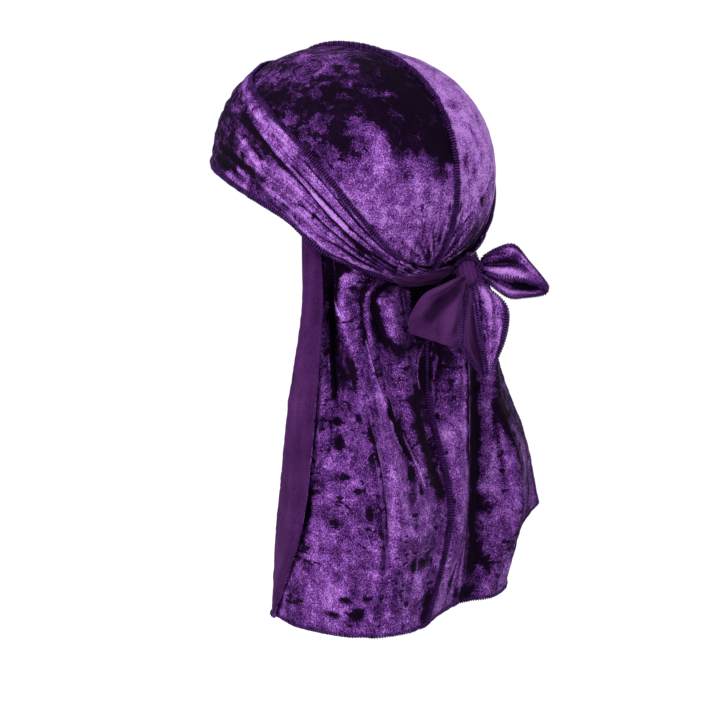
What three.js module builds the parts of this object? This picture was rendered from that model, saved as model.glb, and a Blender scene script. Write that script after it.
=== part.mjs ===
// A tied velvet durag, held in the form it takes when worn.
// Millimetres, +Z up. The origin is the inside top of the crown. The face looks along -Y, and +X is the
// wearer's left. Every piece is a thin closed wall worked out from the head form and the short tables below.
import * as THREE from 'three';

// ---- driving sizes ------------------------------------------------------------------------------
// Inside of the crown: a rounded form of 75 mm half width, its widest level 80 mm below the top.
const HEAD = { side: 75, front: 79.5, back: 103.5, centreY: -8, up: 80, down: 85 };
const HEAD_SQUARENESS = { plan: 2.5, above: 2.25, below: 2.0 };
const GAP = 0.3; // between neighbouring pieces
const CROWN_CLOTH = 1.5;
const BAND_CLOTH = 1.5;
const CAPE_CLOTH = 1.2;
const TIE_CLOTH = 1.2;
const BAND_LIFT = CROWN_CLOTH + GAP; // the band lies over the crown's edge
const BAND_LAP = 3; // degrees of crown that go under the band's top edge
// The overlocked centre seam stands out like a fin. On the crown it stops short of both edges, in
// degrees, and on the cape it runs between two shares of the way down.
const CROWN_SEAM = { thickness: 2.4, height: 3, frontStop: 4, napeStop: 1 };
const CAPE_SEAM = { thickness: 1.6, height: 2.4, from: 0.15, to: 0.995 };
const HEM_Z = -352; // level of the cape's hem

// Edges of the forehead band, in degrees round from the face and in degrees down from the top.
const BAND_EDGES = [
  { around: 0, top: 36, hem: 84 },
  { around: 20, top: 35.5, hem: 84 },
  { around: 41, top: 36, hem: 84.5 },
  { around: 62, top: 43.5, hem: 88.5 },
  { around: 81, top: 49.5, hem: 93 },
  { around: 100, top: 57.5, hem: 98.5 },
  { around: 114, top: 65.5, hem: 103.5 },
  { around: 124, top: 73, hem: 109.5 },
  { around: 134, top: 84.5, hem: 117 },
  { around: 146, top: 101, hem: 124.5 },
  { around: 156, top: 114, hem: 129 },
  { around: 166, top: 122, hem: 133.5 },
  { around: 180, top: 127, hem: 137 },
];
// Degrees round, where each half of the band has narrowed to its tie. The knot sits right of the middle.
const BAND_END = { left: 163, right: 156 };

// Pleats that run the length of the band: place across it (0 hem, 1 top), then height and half width.
const BAND_PLEATS = [
  { face: 0.10, nape: 0.12, height: 1.0, halfWidth: 0.07 },
  { face: 0.27, nape: 0.27, height: 1.3, halfWidth: 0.08 },
  { face: 0.42, nape: 0.42, height: 1.5, halfWidth: 0.07 },
  { face: 0.56, nape: 0.57, height: 1.2, halfWidth: 0.07 },
  { face: 0.72, nape: 0.73, height: 1.5, halfWidth: 0.08 },
  { face: 0.90, nape: 0.89, height: 1.1, halfWidth: 0.07 },
];

const PLEAT_DEPTH = { face: 0.6, ear: 1, earAround: 60 }; // the pleats deepen from the face to the ear
// Behind the ear the band bulges over the folded edge of the cape, up to a share of its width.
const OVER_FOLD = { around: 126, halfWidth: 18, height: 2.2, upTo: 0.6 };

// Gathers that fan up the crown from the nape: degrees from straight up, half width, height, length.
const NAPE_GATHERS = [
  { lean: -58, halfWidth: 11, height: 1.9, length: 62 },
  { lean: -34, halfWidth: 9, height: 2.2, length: 58 },
  { lean: -14, halfWidth: 7, height: 1.9, length: 44 },
  { lean: 14, halfWidth: 7, height: 1.8, length: 36 },
  { lean: 33, halfWidth: 8, height: 1.8, length: 40 },
  { lean: 56, halfWidth: 10, height: 1.4, length: 46 },
];
const NAPE = { x: 0, z: -134 };
const PRESSED = { above: 1, over: 6 }; // degrees over the band's edge, where the gathers rise again

// Folds of the cape, from the turned-out left edge round the back to the right edge, at four levels
// down the cape: nape, shoulder, back and hem. `turn` is in degrees from straight back, `reach` in mm.
const CAPE_LEVELS = { down: [0, 0.05, 0.16, 0.42, 0.71, 1], z: [-150, -215, -285, HEM_Z] };
const CAPE_FOLDS = [
  { name: 'strip_hem', turn: [52.7, 54, 58, 73.3], reach: [87, 100, 103.5, 92.5] },
  { name: 'strip_middle', turn: [57.5, 59.6, 64, 75.2], reach: [89, 97, 100, 90] },
  { name: 'left_edge', turn: [61.8, 66.6, 72.4, 76.5], reach: [86, 90, 89, 85.5] },
  { name: 'strip_back', turn: [57.4, 58, 61.4, 64.4], reach: [82, 91, 95, 98] },
  { name: 'left_column', turn: [53.4, 51.3, 52.4, 55.4], reach: [79, 97, 103, 105] },
  { name: 'left_valley', turn: [50.5, 45.6, 41.6, 44.8], reach: [71, 91, 111, 113] },
  { name: 'ridge_one', turn: [45, 37, 33, 35.6], reach: [86, 105, 118, 116] },
  { name: 'valley_one', turn: [37.4, 31.7, 29.9, 32], reach: [78, 98, 114, 117] },
  { name: 'ridge_two', turn: [35, 29.9, 26.7, 28.8], reach: [82, 104, 118, 116] },
  { name: 'valley_two', turn: [30.6, 24.7, 20.4, 25.3], reach: [75, 94, 110, 114] },
  { name: 'bulge', turn: [23.8, 18, 14.2, 22.8], reach: [83, 94, 103, 113] },
  { name: 'seam_valley', turn: [9.5, 10.3, 6.5, 19.9], reach: [69, 83, 93, 109] },
  { name: 'centre_seam', turn: [0, 4, 2, 16.4], reach: [71, 79, 93, 105] },
  { name: 'right_ridge', turn: [-4.6, -0.7, -3.6, 2.5], reach: [80, 88, 97, 90] },
  { name: 'narrow_ridge', turn: [-12, -11, -13.5, -9.9], reach: [84, 91, 90, 85] },
  { name: 'right_valley', turn: [-30, -29.9, -27, -19], reach: [79, 82, 84, 89] },
  { name: 'bright_ridge', turn: [-34, -32.5, -31.5, -26], reach: [86.5, 92, 98, 98] },
  { name: 'ridge_edge', turn: [-38.5, -37, -38, -38.7], reach: [90, 97, 113, 102.5] },
  { name: 'edge_valley', turn: [-46, -47, -49, -51], reach: [80, 90, 108, 103] },
  { name: 'edge_face', turn: [-53, -57, -61, -66.4], reach: [84, 95, 117, 121] },
  { name: 'right_edge', turn: [-60, -66.3, -71.3, -73.9], reach: [88, 102, 128, 143] },
];
const SEAM_FOLD = CAPE_FOLDS.findIndex((fold) => fold.name === 'centre_seam');
const EDGE_FOLD = CAPE_FOLDS.findIndex((fold) => fold.name === 'left_edge');
const CORNER_RISE = { from: 'ridge_edge', height: 36 }; // the right corner hangs higher than the hem
const FOLDED_LAYER = CAPE_CLOTH + 0.4; // how far the turned-out strip lies off the cloth behind it
const BELOW_BAND = 2; // degrees below the band's hem, where the cape comes out
const TOP_CROWDING = 1.5; // rows of the cape's mesh lie closer together towards the tie

const STRAND_SWELL = 0.9; // how far a strand of the tie swells, as a share of its cloth
// Ties: edges of the gathered strap on the way to the knot, in the band's degrees, and its lift in mm.
const TIE_LEFT = [
  { around: 163.5, top: 120, hem: 132.4, lift: 2 },
  { around: 170, top: 123.6, hem: 135.4, lift: 2 },
  { around: 180, top: 126, hem: 137, lift: 2.2 },
  { around: 190, top: 124.5, hem: 134, lift: 4.2 },
];
const TIE_RIGHT = [
  { around: 156.5, top: 114.6, hem: 129.2, lift: 2 },
  { around: 159, top: 118, hem: 131, lift: 2.2 },
  { around: 162, top: 119.5, hem: 131.5, lift: 2.6 },
  { around: 165, top: 120, hem: 131, lift: 2.8 },
];

// Bow and knot at the nape. A row is a section: its middle, then width, then the way its width points,
// as degrees up from level and degrees round from the wearer's left.
const KNOT = { x: -20, y: 86.5, z: -133.5, halfWidth: 8, halfDepth: 7, halfHeight: 11 };
const KNOT_WRAPS = { count: 3, swell: 0.05, slant: 0.4 };
const LOOP_LEFT = [
  { x: -13.3, y: 90.7, z: -138.4, width: 7, up: 42, round: 0 },
  { x: 2, y: 98.4, z: -146.5, width: 19, up: 38, round: -4 },
  { x: 12, y: 101.6, z: -154, width: 31, up: 32, round: -8 },
  { x: 19, y: 103, z: -164, width: 36, up: 25, round: -9 },
  { x: 20.5, y: 99.4, z: -171.6, width: 37, up: 22, round: -9 },
  { x: 17.5, y: 95, z: -168, width: 35, up: 23, round: -9 },
  { x: 10, y: 92.6, z: -158, width: 29, up: 30, round: -8 },
  { x: 0, y: 90.6, z: -149, width: 17, up: 38, round: -4 },
  { x: -12.8, y: 88.7, z: -140.4, width: 6, up: 42, round: 0 },
];
const LOOP_RIGHT = [
  { x: -27.8, y: 89.4, z: -129.4, width: 8, up: -48, round: 60 },
  { x: -37, y: 95, z: -126.4, width: 15, up: -50, round: 50 },
  { x: -47, y: 100, z: -126.4, width: 19, up: -48, round: 45 },
  { x: -58, y: 104, z: -132.4, width: 20, up: -42, round: 45 },
  { x: -67, y: 107, z: -141.5, width: 16, up: -35, round: 48 },
  { x: -71, y: 107.5, z: -148.6, width: 12, up: -30, round: 50 },
  { x: -67, y: 104, z: -151.5, width: 13, up: -30, round: 50 },
  { x: -56, y: 99, z: -149.5, width: 16, up: -38, round: 50 },
  { x: -43, y: 94.4, z: -145, width: 15, up: -45, round: 55 },
  { x: -27.6, y: 90.3, z: -136.8, width: 8, up: -48, round: 60 },
];
const END_RIGHT = [
  { x: -24.3, y: 92.4, z: -141.8, width: 6, up: 8, round: -8 },
  { x: -28.5, y: 97, z: -151, width: 19, up: 6, round: -16 },
  { x: -29.5, y: 99.4, z: -160, width: 24, up: 2, round: -20 },
  { x: -29.8, y: 99.6, z: -171, width: 23, up: 0, round: -20 },
  { x: -29.5, y: 98.4, z: -182, width: 18, up: -4, round: -16 },
  { x: -29, y: 97, z: -192, width: 11, up: -8, round: -12 },
  { x: -29, y: 96, z: -201.5, width: 2, up: -10, round: -12 },
];
const END_LEFT = [
  { x: -18.6, y: 89.9, z: -143.9, width: 6, up: -6, round: 10 },
  { x: -17, y: 92.4, z: -152.5, width: 13, up: -4, round: 12 },
  { x: -16.5, y: 93.2, z: -163, width: 17, up: 0, round: 14 },
  { x: -17.5, y: 93.4, z: -174.5, width: 19, up: 8, round: 12 },
  { x: -21, y: 93, z: -185.5, width: 14, up: 16, round: 8 },
  { x: -25.5, y: 92.6, z: -194.5, width: 5, up: 26, round: 4 },
];

const COLOURS = { velvet: 0x6a2f96, reverse: 0x5b2f6e, thread: 0x32115e };

// ---- small helpers ------------------------------------------------------------------------------
const radians = THREE.MathUtils.degToRad;
const degrees = THREE.MathUtils.radToDeg;
const mix = THREE.MathUtils.lerp;
const ease = (x) => THREE.MathUtils.smoothstep(x, 0, 1);

// A rounded ridge: 1 in the middle and 0 from one half width away.
function bump(distance, halfWidth) {
  const x = Math.min(1, Math.abs(distance) / halfWidth);
  return (1 + Math.cos(Math.PI * x)) / 2;
}

// A smooth curve through values at rising knots.
function through(knots, values, x) {
  const last = knots.length - 1;
  let i = 0;
  while (i < last - 1 && x > knots[i + 1]) i += 1;
  const slope = (j) => {
    const a = Math.max(0, j - 1);
    const b = Math.min(last, j + 1);
    return (values[b] - values[a]) / (knots[b] - knots[a]);
  };
  const span = knots[i + 1] - knots[i];
  const t = (x - knots[i]) / span;
  const rise = values[i + 1] - values[i];
  const turn = (1 - t) * (slope(i) * span - rise) - t * (slope(i + 1) * span - rise);
  return mix(values[i], values[i + 1], t) + t * (1 - t) * turn;
}

function fromTable(table, key, column, x) {
  return through(table.map((row) => row[key]), table.map((row) => row[column]), x);
}

// A closed wall between two sheets, each a function of two numbers from 0 to 1.
function wall(inner, outer, rows, columns) {
  const positions = [];
  const indices = [];
  const sheetSize = (rows + 1) * (columns + 1);
  for (const sheet of [inner, outer]) {
    for (let i = 0; i <= rows; i += 1) {
      for (let j = 0; j <= columns; j += 1) {
        positions.push(...sheet(i / rows, j / columns).toArray());
      }
    }
  }
  const at = (sheet, i, j) => sheet * sheetSize + i * (columns + 1) + j;
  const quad = (a, b, c, d) => indices.push(a, b, c, a, c, d);
  for (let i = 0; i < rows; i += 1) {
    for (let j = 0; j < columns; j += 1) {
      quad(at(0, i, j), at(0, i, j + 1), at(0, i + 1, j + 1), at(0, i + 1, j));
      quad(at(1, i, j), at(1, i + 1, j), at(1, i + 1, j + 1), at(1, i, j + 1));
    }
    quad(at(0, i, 0), at(0, i + 1, 0), at(1, i + 1, 0), at(1, i, 0));
    quad(at(0, i + 1, columns), at(0, i, columns), at(1, i, columns), at(1, i + 1, columns));
  }
  for (let j = 0; j < columns; j += 1) {
    quad(at(0, 0, j + 1), at(0, 0, j), at(1, 0, j), at(1, 0, j + 1));
    quad(at(0, rows, j), at(0, rows, j + 1), at(1, rows, j + 1), at(1, rows, j));
  }
  const geometry = new THREE.BufferGeometry();
  geometry.setAttribute('position', new THREE.Float32BufferAttribute(positions, 3));
  geometry.setIndex(indices);
  return outwardFacing(geometry);
}

// Turns every face over when the enclosed volume comes out negative.
function outwardFacing(geometry) {
  const p = geometry.attributes.position;
  const index = geometry.index.array;
  const [a, b, c] = [new THREE.Vector3(), new THREE.Vector3(), new THREE.Vector3()];
  let volume = 0;
  for (let i = 0; i < index.length; i += 3) {
    a.fromBufferAttribute(p, index[i]);
    b.fromBufferAttribute(p, index[i + 1]);
    c.fromBufferAttribute(p, index[i + 2]);
    volume += a.dot(b.cross(c));
  }
  if (volume < 0) {
    for (let i = 0; i < index.length; i += 3) {
      [index[i], index[i + 1]] = [index[i + 1], index[i]];
    }
  }
  geometry.computeVertexNormals();
  return geometry;
}

// A wall of even thickness, half of it on each side of a sheet.
function cloth(sheet, thickness, rows, columns) {
  const step = 0.002;
  const side = (sign) => (u, v) => {
    const du = sheet(Math.min(1, u + step), v).sub(sheet(Math.max(0, u - step), v));
    const dv = sheet(u, Math.min(1, v + step)).sub(sheet(u, Math.max(0, v - step)));
    const normal = du.cross(dv).normalize();
    return sheet(u, v).addScaledVector(normal, sign * thickness / 2);
  };
  return wall(side(-1), side(1), rows, columns);
}

// ---- the head form ------------------------------------------------------------------------------
const CENTRE = new THREE.Vector3(0, HEAD.centreY, -HEAD.up);

function headSize(d) {
  const length = d.y < 0 ? HEAD.front : HEAD.back;
  const height = d.z > 0 ? HEAD.up : HEAD.down;
  const m = d.z > 0 ? HEAD_SQUARENESS.above : HEAD_SQUARENESS.below;
  const n = HEAD_SQUARENESS.plan;
  const plan = Math.abs(d.x / HEAD.side) ** n + Math.abs(d.y / length) ** n;
  return (plan ** (m / n) + Math.abs(d.z / height) ** m) ** (1 / m);
}

// The way from the form's centre to a place given in degrees round from the face and down from the top.
function headway(around, down) {
  const [a, d] = [radians(around), radians(down)];
  const length = Math.cos(a) > 0 ? HEAD.front : HEAD.back;
  const n = HEAD_SQUARENESS.plan;
  const r = (Math.abs(Math.sin(a) / HEAD.side) ** n + Math.abs(Math.cos(a) / length) ** n) ** (-1 / n);
  const height = Math.cos(d) > 0 ? HEAD.up : HEAD.down;
  return new THREE.Vector3(
    r * Math.sin(a) * Math.sin(d),
    -r * Math.cos(a) * Math.sin(d),
    height * Math.cos(d),
  );
}

// The point on the form in that direction, lifted off it along the form's normal.
function onHead(way, lift) {
  const d = way.clone().divideScalar(headSize(way));
  const step = 0.01;
  const normal = new THREE.Vector3();
  for (const axis of ['x', 'y', 'z']) {
    const more = d.clone();
    const less = d.clone();
    more[axis] += step;
    less[axis] -= step;
    normal[axis] = headSize(more) - headSize(less);
  }
  return CENTRE.clone().add(d).addScaledVector(normal.normalize(), lift);
}

const bandTop = (around) => fromTable(BAND_EDGES, 'around', 'top', around);
const bandHem = (around) => fromTable(BAND_EDGES, 'around', 'hem', around);

// ---- crown: two panels joined by a raised seam over the top --------------------------------------
// A panel runs from the centre seam down to the band, and behind the ear on to the cape's top edge.
const CROWN_FRONT = -(bandTop(0) + BAND_LAP); // degrees from straight up, in the middle plane
const CROWN_NAPE = 121;
const CROWN_EDGE = [
  { along: 0, around: 12, down: bandTop(12) + BAND_LAP },
  { along: 0.25, around: 45, down: bandTop(45) + BAND_LAP },
  { along: 0.5, around: 78, down: bandTop(78) + BAND_LAP },
  { along: 0.72, around: 104, down: bandTop(104) + BAND_LAP + 3 },
  { along: 0.88, around: 116, down: 86 },
  { along: 1, around: 121, down: 101 },
];

function middleWay(angle) {
  return new THREE.Vector3(0, Math.sin(radians(angle)), Math.cos(radians(angle)));
}

function crownWay(along, across) {
  const start = middleWay(mix(CROWN_FRONT, CROWN_NAPE, along));
  const around = fromTable(CROWN_EDGE, 'along', 'around', along);
  const down = fromTable(CROWN_EDGE, 'along', 'down', along);
  const end = headway(around, down).normalize();
  return start.lerp(end, across);
}

// Height of the gathers at a point of the crown. They end where the band and tie press the crown flat.
function napeGather(point) {
  if (point.y < 0) return 0;
  const [x, z] = [point.x - NAPE.x, point.z - NAPE.z];
  const lean = degrees(Math.atan2(x, z));
  const away = Math.hypot(x, z);
  const way = point.clone().sub(CENTRE);
  const around = degrees(Math.atan2(Math.abs(way.x), -way.y));
  const level = Math.min(1, way.z / (way.z > 0 ? HEAD.up : HEAD.down));
  const clear = ease((bandTop(around) - degrees(Math.acos(level)) - PRESSED.above) / PRESSED.over);
  return NAPE_GATHERS.reduce((sum, g) => (
    sum + clear * g.height * bump(lean - g.lean, g.halfWidth) * ease(1 - away / g.length)
  ), 0);
}

function crownPanel(side) {
  const sheet = (thickness) => (along, across) => {
    const way = crownWay(along, across);
    const flat = onHead(way, 0);
    flat.x *= side;
    const lift = thickness ? thickness + napeGather(flat) : 0;
    const point = onHead(way, lift);
    point.x = side * Math.max(point.x, GAP / 2);
    return point;
  };
  return wall(sheet(0), sheet(CROWN_CLOTH), 20, 11);
}

// A fin along a line that is given with the way it stands out.
function fin(place, thickness, height, steps) {
  const stand = (side) => (along, across) => {
    const { point, out, sideways } = place(along);
    return point.clone()
      .addScaledVector(out, across * height)
      .addScaledVector(sideways, side * thickness / 2);
  };
  return wall(stand(-1), stand(1), steps, 1);
}

function crownSeam() {
  const sideways = new THREE.Vector3(1, 0, 0);
  return fin((along) => {
    const way = middleWay(mix(CROWN_FRONT + CROWN_SEAM.frontStop, CROWN_NAPE - CROWN_SEAM.napeStop, along));
    const surface = onHead(way, 0);
    const point = onHead(way, CROWN_CLOTH + GAP + napeGather(surface));
    const out = onHead(way, 1).sub(surface);
    return { point, out, sideways };
  }, CROWN_SEAM.thickness, CROWN_SEAM.height, 48);
}

// ---- forehead band: two pleated halves that meet at the middle of the forehead --------------------
function bandHalf(side) {
  const sheet = (outer) => (u, v) => {
    const around = u * (side > 0 ? BAND_END.left : BAND_END.right);
    const down = mix(bandHem(around), bandTop(around), v);
    const bulge = bump(around - OVER_FOLD.around, OVER_FOLD.halfWidth) * (1 - ease(v / OVER_FOLD.upTo));
    let lift = BAND_LIFT + OVER_FOLD.height * bulge;
    if (outer) {
      const depth = mix(PLEAT_DEPTH.face, PLEAT_DEPTH.ear, ease(around / PLEAT_DEPTH.earAround));
      const pleats = BAND_PLEATS.map((p) => (
        depth * p.height * bump(v - mix(p.face, p.nape, u), p.halfWidth)
      ));
      lift += BAND_CLOTH + Math.max(...pleats);
    }
    const point = onHead(headway(around, down), lift);
    point.x = side * Math.max(point.x, GAP / 2);
    return point;
  };
  return wall(sheet(false), sheet(true), 28, 13);
}

// ---- cape: left and right of a raised seam, hanging in folds from under the tie ---------------------
const FOLD_KNOTS = CAPE_FOLDS.reduce((knots, fold, i) => {
  const spot = (f) => new THREE.Vector2(f.reach[1], 0).rotateAround(new THREE.Vector2(), radians(f.turn[1]));
  const step = i === 0 ? 0 : spot(fold).distanceTo(spot(CAPE_FOLDS[i - 1]));
  knots.push(step + (i === 0 ? 0 : knots[i - 1]));
  return knots;
}, []);
const CORNER_KNOT = FOLD_KNOTS[CAPE_FOLDS.findIndex((fold) => fold.name === CORNER_RISE.from)];

// Where a fold starts, against the crown's lower edge, and where it comes out under the band's hem.
// The turned-out strip lies over the cloth behind it.
function foldTop(i) {
  const seam = FOLD_KNOTS[SEAM_FOLD];
  const edge = i < SEAM_FOLD ? FOLD_KNOTS[EDGE_FOLD] : FOLD_KNOTS[FOLD_KNOTS.length - 1];
  const across = (FOLD_KNOTS[i] - seam) / (edge - seam);
  const way = crownWay(1, Math.min(across, 2 - across));
  const lift = CAPE_CLOTH / 2 + (across > 1 ? FOLDED_LAYER : 0) + (i === EDGE_FOLD ? FOLDED_LAYER / 2 : 0);
  const around = degrees(Math.atan2(way.x, -way.y));
  way.z -= 2 * GAP / HEAD.down;
  const start = onHead(way, lift);
  const exit = onHead(headway(around, bandHem(around) + BELOW_BAND), lift);
  if (i > SEAM_FOLD) {
    start.x *= -1;
    exit.x *= -1;
  }
  return [start, exit];
}

const FOLD_LINES = CAPE_FOLDS.map((fold, i) => {
  const rise = CORNER_RISE.height * ease((FOLD_KNOTS[i] - CORNER_KNOT)
    / (FOLD_KNOTS[FOLD_KNOTS.length - 1] - CORNER_KNOT));
  const hanging = CAPE_LEVELS.z.map((z, level) => {
    const turn = radians(fold.turn[level]);
    const height = z + rise * CAPE_LEVELS.down[level + 2] ** 2;
    return new THREE.Vector3(fold.reach[level] * Math.sin(turn), fold.reach[level] * Math.cos(turn), height);
  });
  return [...foldTop(i), ...hanging];
});

// A point of the cape: `around` in mm along the folds, `down` from 0 under the tie to 1 at the hem.
function capePoint(around, down) {
  const point = new THREE.Vector3();
  for (const axis of ['x', 'y', 'z']) {
    const row = FOLD_LINES.map((line) => through(CAPE_LEVELS.down, line.map((p) => p[axis]), down));
    point[axis] = through(FOLD_KNOTS, row, around);
  }
  return point;
}

function capePanel(firstFold, lastFold, columns) {
  const from = FOLD_KNOTS[firstFold] + (firstFold === SEAM_FOLD ? GAP : 0);
  const to = FOLD_KNOTS[lastFold] - (lastFold === SEAM_FOLD ? GAP : 0);
  return cloth((u, v) => capePoint(mix(from, to, v), u ** TOP_CROWDING), CAPE_CLOTH, 16, columns);
}

function capeSeam() {
  const seam = FOLD_KNOTS[SEAM_FOLD];
  return fin((along) => {
    const down = mix(CAPE_SEAM.from, CAPE_SEAM.to, along);
    const point = capePoint(seam, down);
    const sideways = capePoint(seam + 1, down).sub(capePoint(seam - 1, down)).normalize();
    const length = capePoint(seam, Math.min(1, down + 0.01)).sub(capePoint(seam, down - 0.01));
    const out = sideways.clone().cross(length).normalize();
    if (out.y < 0) out.negate();
    point.addScaledVector(out, CAPE_CLOTH / 2 + 3 * GAP);
    return { point, out, sideways };
  }, CAPE_SEAM.thickness, CAPE_SEAM.height, 36);
}

// ---- ties, knot and bow ---------------------------------------------------------------------------
// A strap pressed on the head form, with a groove between its two strands.
function tie(table, side, steps) {
  const place = (outer) => (u, v) => {
    const around = mix(table[0].around, table[table.length - 1].around, u);
    const down = mix(fromTable(table, 'around', 'hem', around), fromTable(table, 'around', 'top', around), v);
    const strands = TIE_CLOTH * (1 + STRAND_SWELL * Math.abs(Math.sin(2 * Math.PI * v)));
    const lift = fromTable(table, 'around', 'lift', around) + (outer ? strands : 0);
    const point = onHead(headway(around, down), lift);
    point.x *= side;
    return point;
  };
  return wall(place(false), place(true), steps, 8);
}

// A strip of cloth through the sections of a table. Its creases fade out where it enters the knot.
function ribbon(table, thickness, creases, depth, rows, columns) {
  const knots = table.map((row, i) => i);
  const read = (column, u) => through(knots, table.map((row) => row[column]), u * (table.length - 1));
  const widthWay = (u) => {
    const [up, round] = [radians(read('up', u)), radians(read('round', u))];
    return new THREE.Vector3(Math.cos(up) * Math.cos(round), Math.cos(up) * Math.sin(round), Math.sin(up));
  };
  const middle = (u) => new THREE.Vector3(read('x', u), read('y', u), read('z', u));
  const sheet = (u, v) => {
    const step = 0.01;
    const length = middle(Math.min(1, u + step)).sub(middle(Math.max(0, u - step)));
    const across = widthWay(u);
    const out = length.cross(across).normalize();
    const fade = Math.sin(Math.PI * Math.min(1, u * 2 + 0.2));
    const wave = depth * fade * Math.cos(2 * Math.PI * creases * v);
    return middle(u).addScaledVector(across, (v - 0.5) * read('width', u)).addScaledVector(out, wave);
  };
  return cloth(sheet, thickness, rows, columns);
}

function knot() {
  const geometry = new THREE.SphereGeometry(1, 20, 12);
  const p = geometry.attributes.position;
  const point = new THREE.Vector3();
  for (let i = 0; i < p.count; i += 1) {
    point.fromBufferAttribute(p, i);
    const wrap = Math.atan2(point.y + KNOT_WRAPS.slant * point.x, point.z);
    const swell = 1 + KNOT_WRAPS.swell * Math.cos(KNOT_WRAPS.count * wrap);
    p.setXYZ(
      i,
      KNOT.x + point.x * KNOT.halfWidth * swell,
      KNOT.y + point.z * KNOT.halfDepth * swell,
      KNOT.z - point.y * KNOT.halfHeight * swell,
    );
  }
  return geometry;
}

// ---- the assembly -----------------------------------------------------------------------------------
const FINISH = {
  velvet: { color: COLOURS.velvet, roughness: 0.55, metalness: 0 },
  reverse: { color: COLOURS.reverse, roughness: 0.9, metalness: 0 },
  thread: { color: COLOURS.thread, roughness: 0.8, metalness: 0 },
};

const durag = new THREE.Group();

function add(name, geometry, finish) {
  const mesh = new THREE.Mesh(geometry, new THREE.MeshStandardMaterial(FINISH[finish]));
  mesh.name = name;
  durag.add(mesh);
}

add('crown_left', crownPanel(1), 'velvet');
add('crown_right', crownPanel(-1), 'velvet');
add('crown_seam', crownSeam(), 'thread');
add('band_left', bandHalf(1), 'velvet');
add('band_right', bandHalf(-1), 'velvet');
add('cape_left', capePanel(0, SEAM_FOLD, 26), 'velvet');
add('cape_right', capePanel(SEAM_FOLD, CAPE_FOLDS.length - 1, 18), 'velvet');
add('cape_seam', capeSeam(), 'thread');
add('tie_left', tie(TIE_LEFT, 1, 8), 'reverse');
add('tie_right', tie(TIE_RIGHT, -1, 4), 'reverse');
add('knot', knot(), 'reverse');
add('bow_loop_left', ribbon(LOOP_LEFT, TIE_CLOTH, 2, 0.8, 18, 8), 'reverse');
add('bow_loop_right', ribbon(LOOP_RIGHT, TIE_CLOTH, 1, 0.6, 20, 5), 'velvet');
add('tie_end_right', ribbon(END_RIGHT, TIE_CLOTH, 1, 1.2, 12, 6), 'velvet');
add('tie_end_left', ribbon(END_LEFT, TIE_CLOTH, 1, 0.8, 12, 6), 'reverse');

export default durag;
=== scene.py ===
# A tied velvet durag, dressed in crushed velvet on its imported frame. Tables are in millimetres and
# degrees, as the cut is measured, and meshes are in metres. -Y is the wearer's face, +X their left.
import functools
from math import acos, atan2, cos, degrees, exp, hypot, pi, radians, sin

import bmesh
import bpy
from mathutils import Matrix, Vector, noise


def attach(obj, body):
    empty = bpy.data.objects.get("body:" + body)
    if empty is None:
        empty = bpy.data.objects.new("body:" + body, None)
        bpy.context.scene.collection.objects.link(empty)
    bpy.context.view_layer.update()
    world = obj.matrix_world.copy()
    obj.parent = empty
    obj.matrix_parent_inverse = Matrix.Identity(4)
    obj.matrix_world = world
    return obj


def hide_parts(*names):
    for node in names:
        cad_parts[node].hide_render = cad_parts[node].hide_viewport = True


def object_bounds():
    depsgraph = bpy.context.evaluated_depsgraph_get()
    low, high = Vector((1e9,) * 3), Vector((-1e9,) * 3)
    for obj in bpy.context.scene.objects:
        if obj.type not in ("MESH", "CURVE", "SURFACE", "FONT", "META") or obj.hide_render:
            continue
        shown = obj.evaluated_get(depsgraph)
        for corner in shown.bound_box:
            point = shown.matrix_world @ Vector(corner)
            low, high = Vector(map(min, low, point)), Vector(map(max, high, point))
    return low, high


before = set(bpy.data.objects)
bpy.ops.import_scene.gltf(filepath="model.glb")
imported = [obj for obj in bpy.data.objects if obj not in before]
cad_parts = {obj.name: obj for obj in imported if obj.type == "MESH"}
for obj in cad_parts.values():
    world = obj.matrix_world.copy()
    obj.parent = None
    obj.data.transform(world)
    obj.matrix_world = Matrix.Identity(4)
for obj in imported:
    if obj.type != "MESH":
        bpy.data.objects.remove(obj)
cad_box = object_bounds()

# ---- Camera ----
# A long lens behind the wearer's left shoulder, level with the top of the crown and tipped down.
CAMERA = {"round": 139, "away": 1.3, "rise": 0.0681, "dip": 11.74, "lens": 101.35, "shift": 0.0111}


def put(name, data):
    """A new object of that data, in the scene."""
    thing = bpy.data.objects.new(name, data)
    bpy.context.scene.collection.objects.link(thing)
    return thing


camera_data = bpy.data.cameras.new("camera")
camera_data.lens = CAMERA["lens"]
camera_data.sensor_width = 36
camera_data.shift_x = CAMERA["shift"]
camera = put("camera", camera_data)
camera_turn = radians(CAMERA["round"])
camera.location = (
    CAMERA["away"] * sin(camera_turn),
    -CAMERA["away"] * cos(camera_turn),
    CAMERA["rise"],
)
camera.rotation_euler = (radians(90 - CAMERA["dip"]), 0, camera_turn)
bpy.context.scene.camera = camera

# ---- Studio ----
# A white floor well below the hem, one broad soft light from high on the left that lights the floor
# evenly, and two softboxes: one on the left, and one on the right that opens the shadows of the folds.
FLOOR_DROP = 0.3
FLOOR_SIZE = 200
FLOOR_PAINT = {"colour": (0.92, 0.92, 0.92, 1), "roughness": 0.9}
SKY = 0.5
DAYLIGHT = {"round": 95, "up": 55, "away": 3, "spread": 30, "power": 2.4}


def table(columns, *rows):
    """Rows of values under named columns."""
    return [dict(zip(columns.split(), row)) for row in rows]


SOFT_LIGHTS = table(
    "name round up away size power",
    ("left_softbox", 95, 20, 1.6, 0.8, 9),
    ("right_softbox", 205, 15, 1.8, 1, 10),
)


def mesh_of(name, form):
    data = bpy.data.meshes.new(name)
    form.to_mesh(data)
    form.free()
    return data


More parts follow.
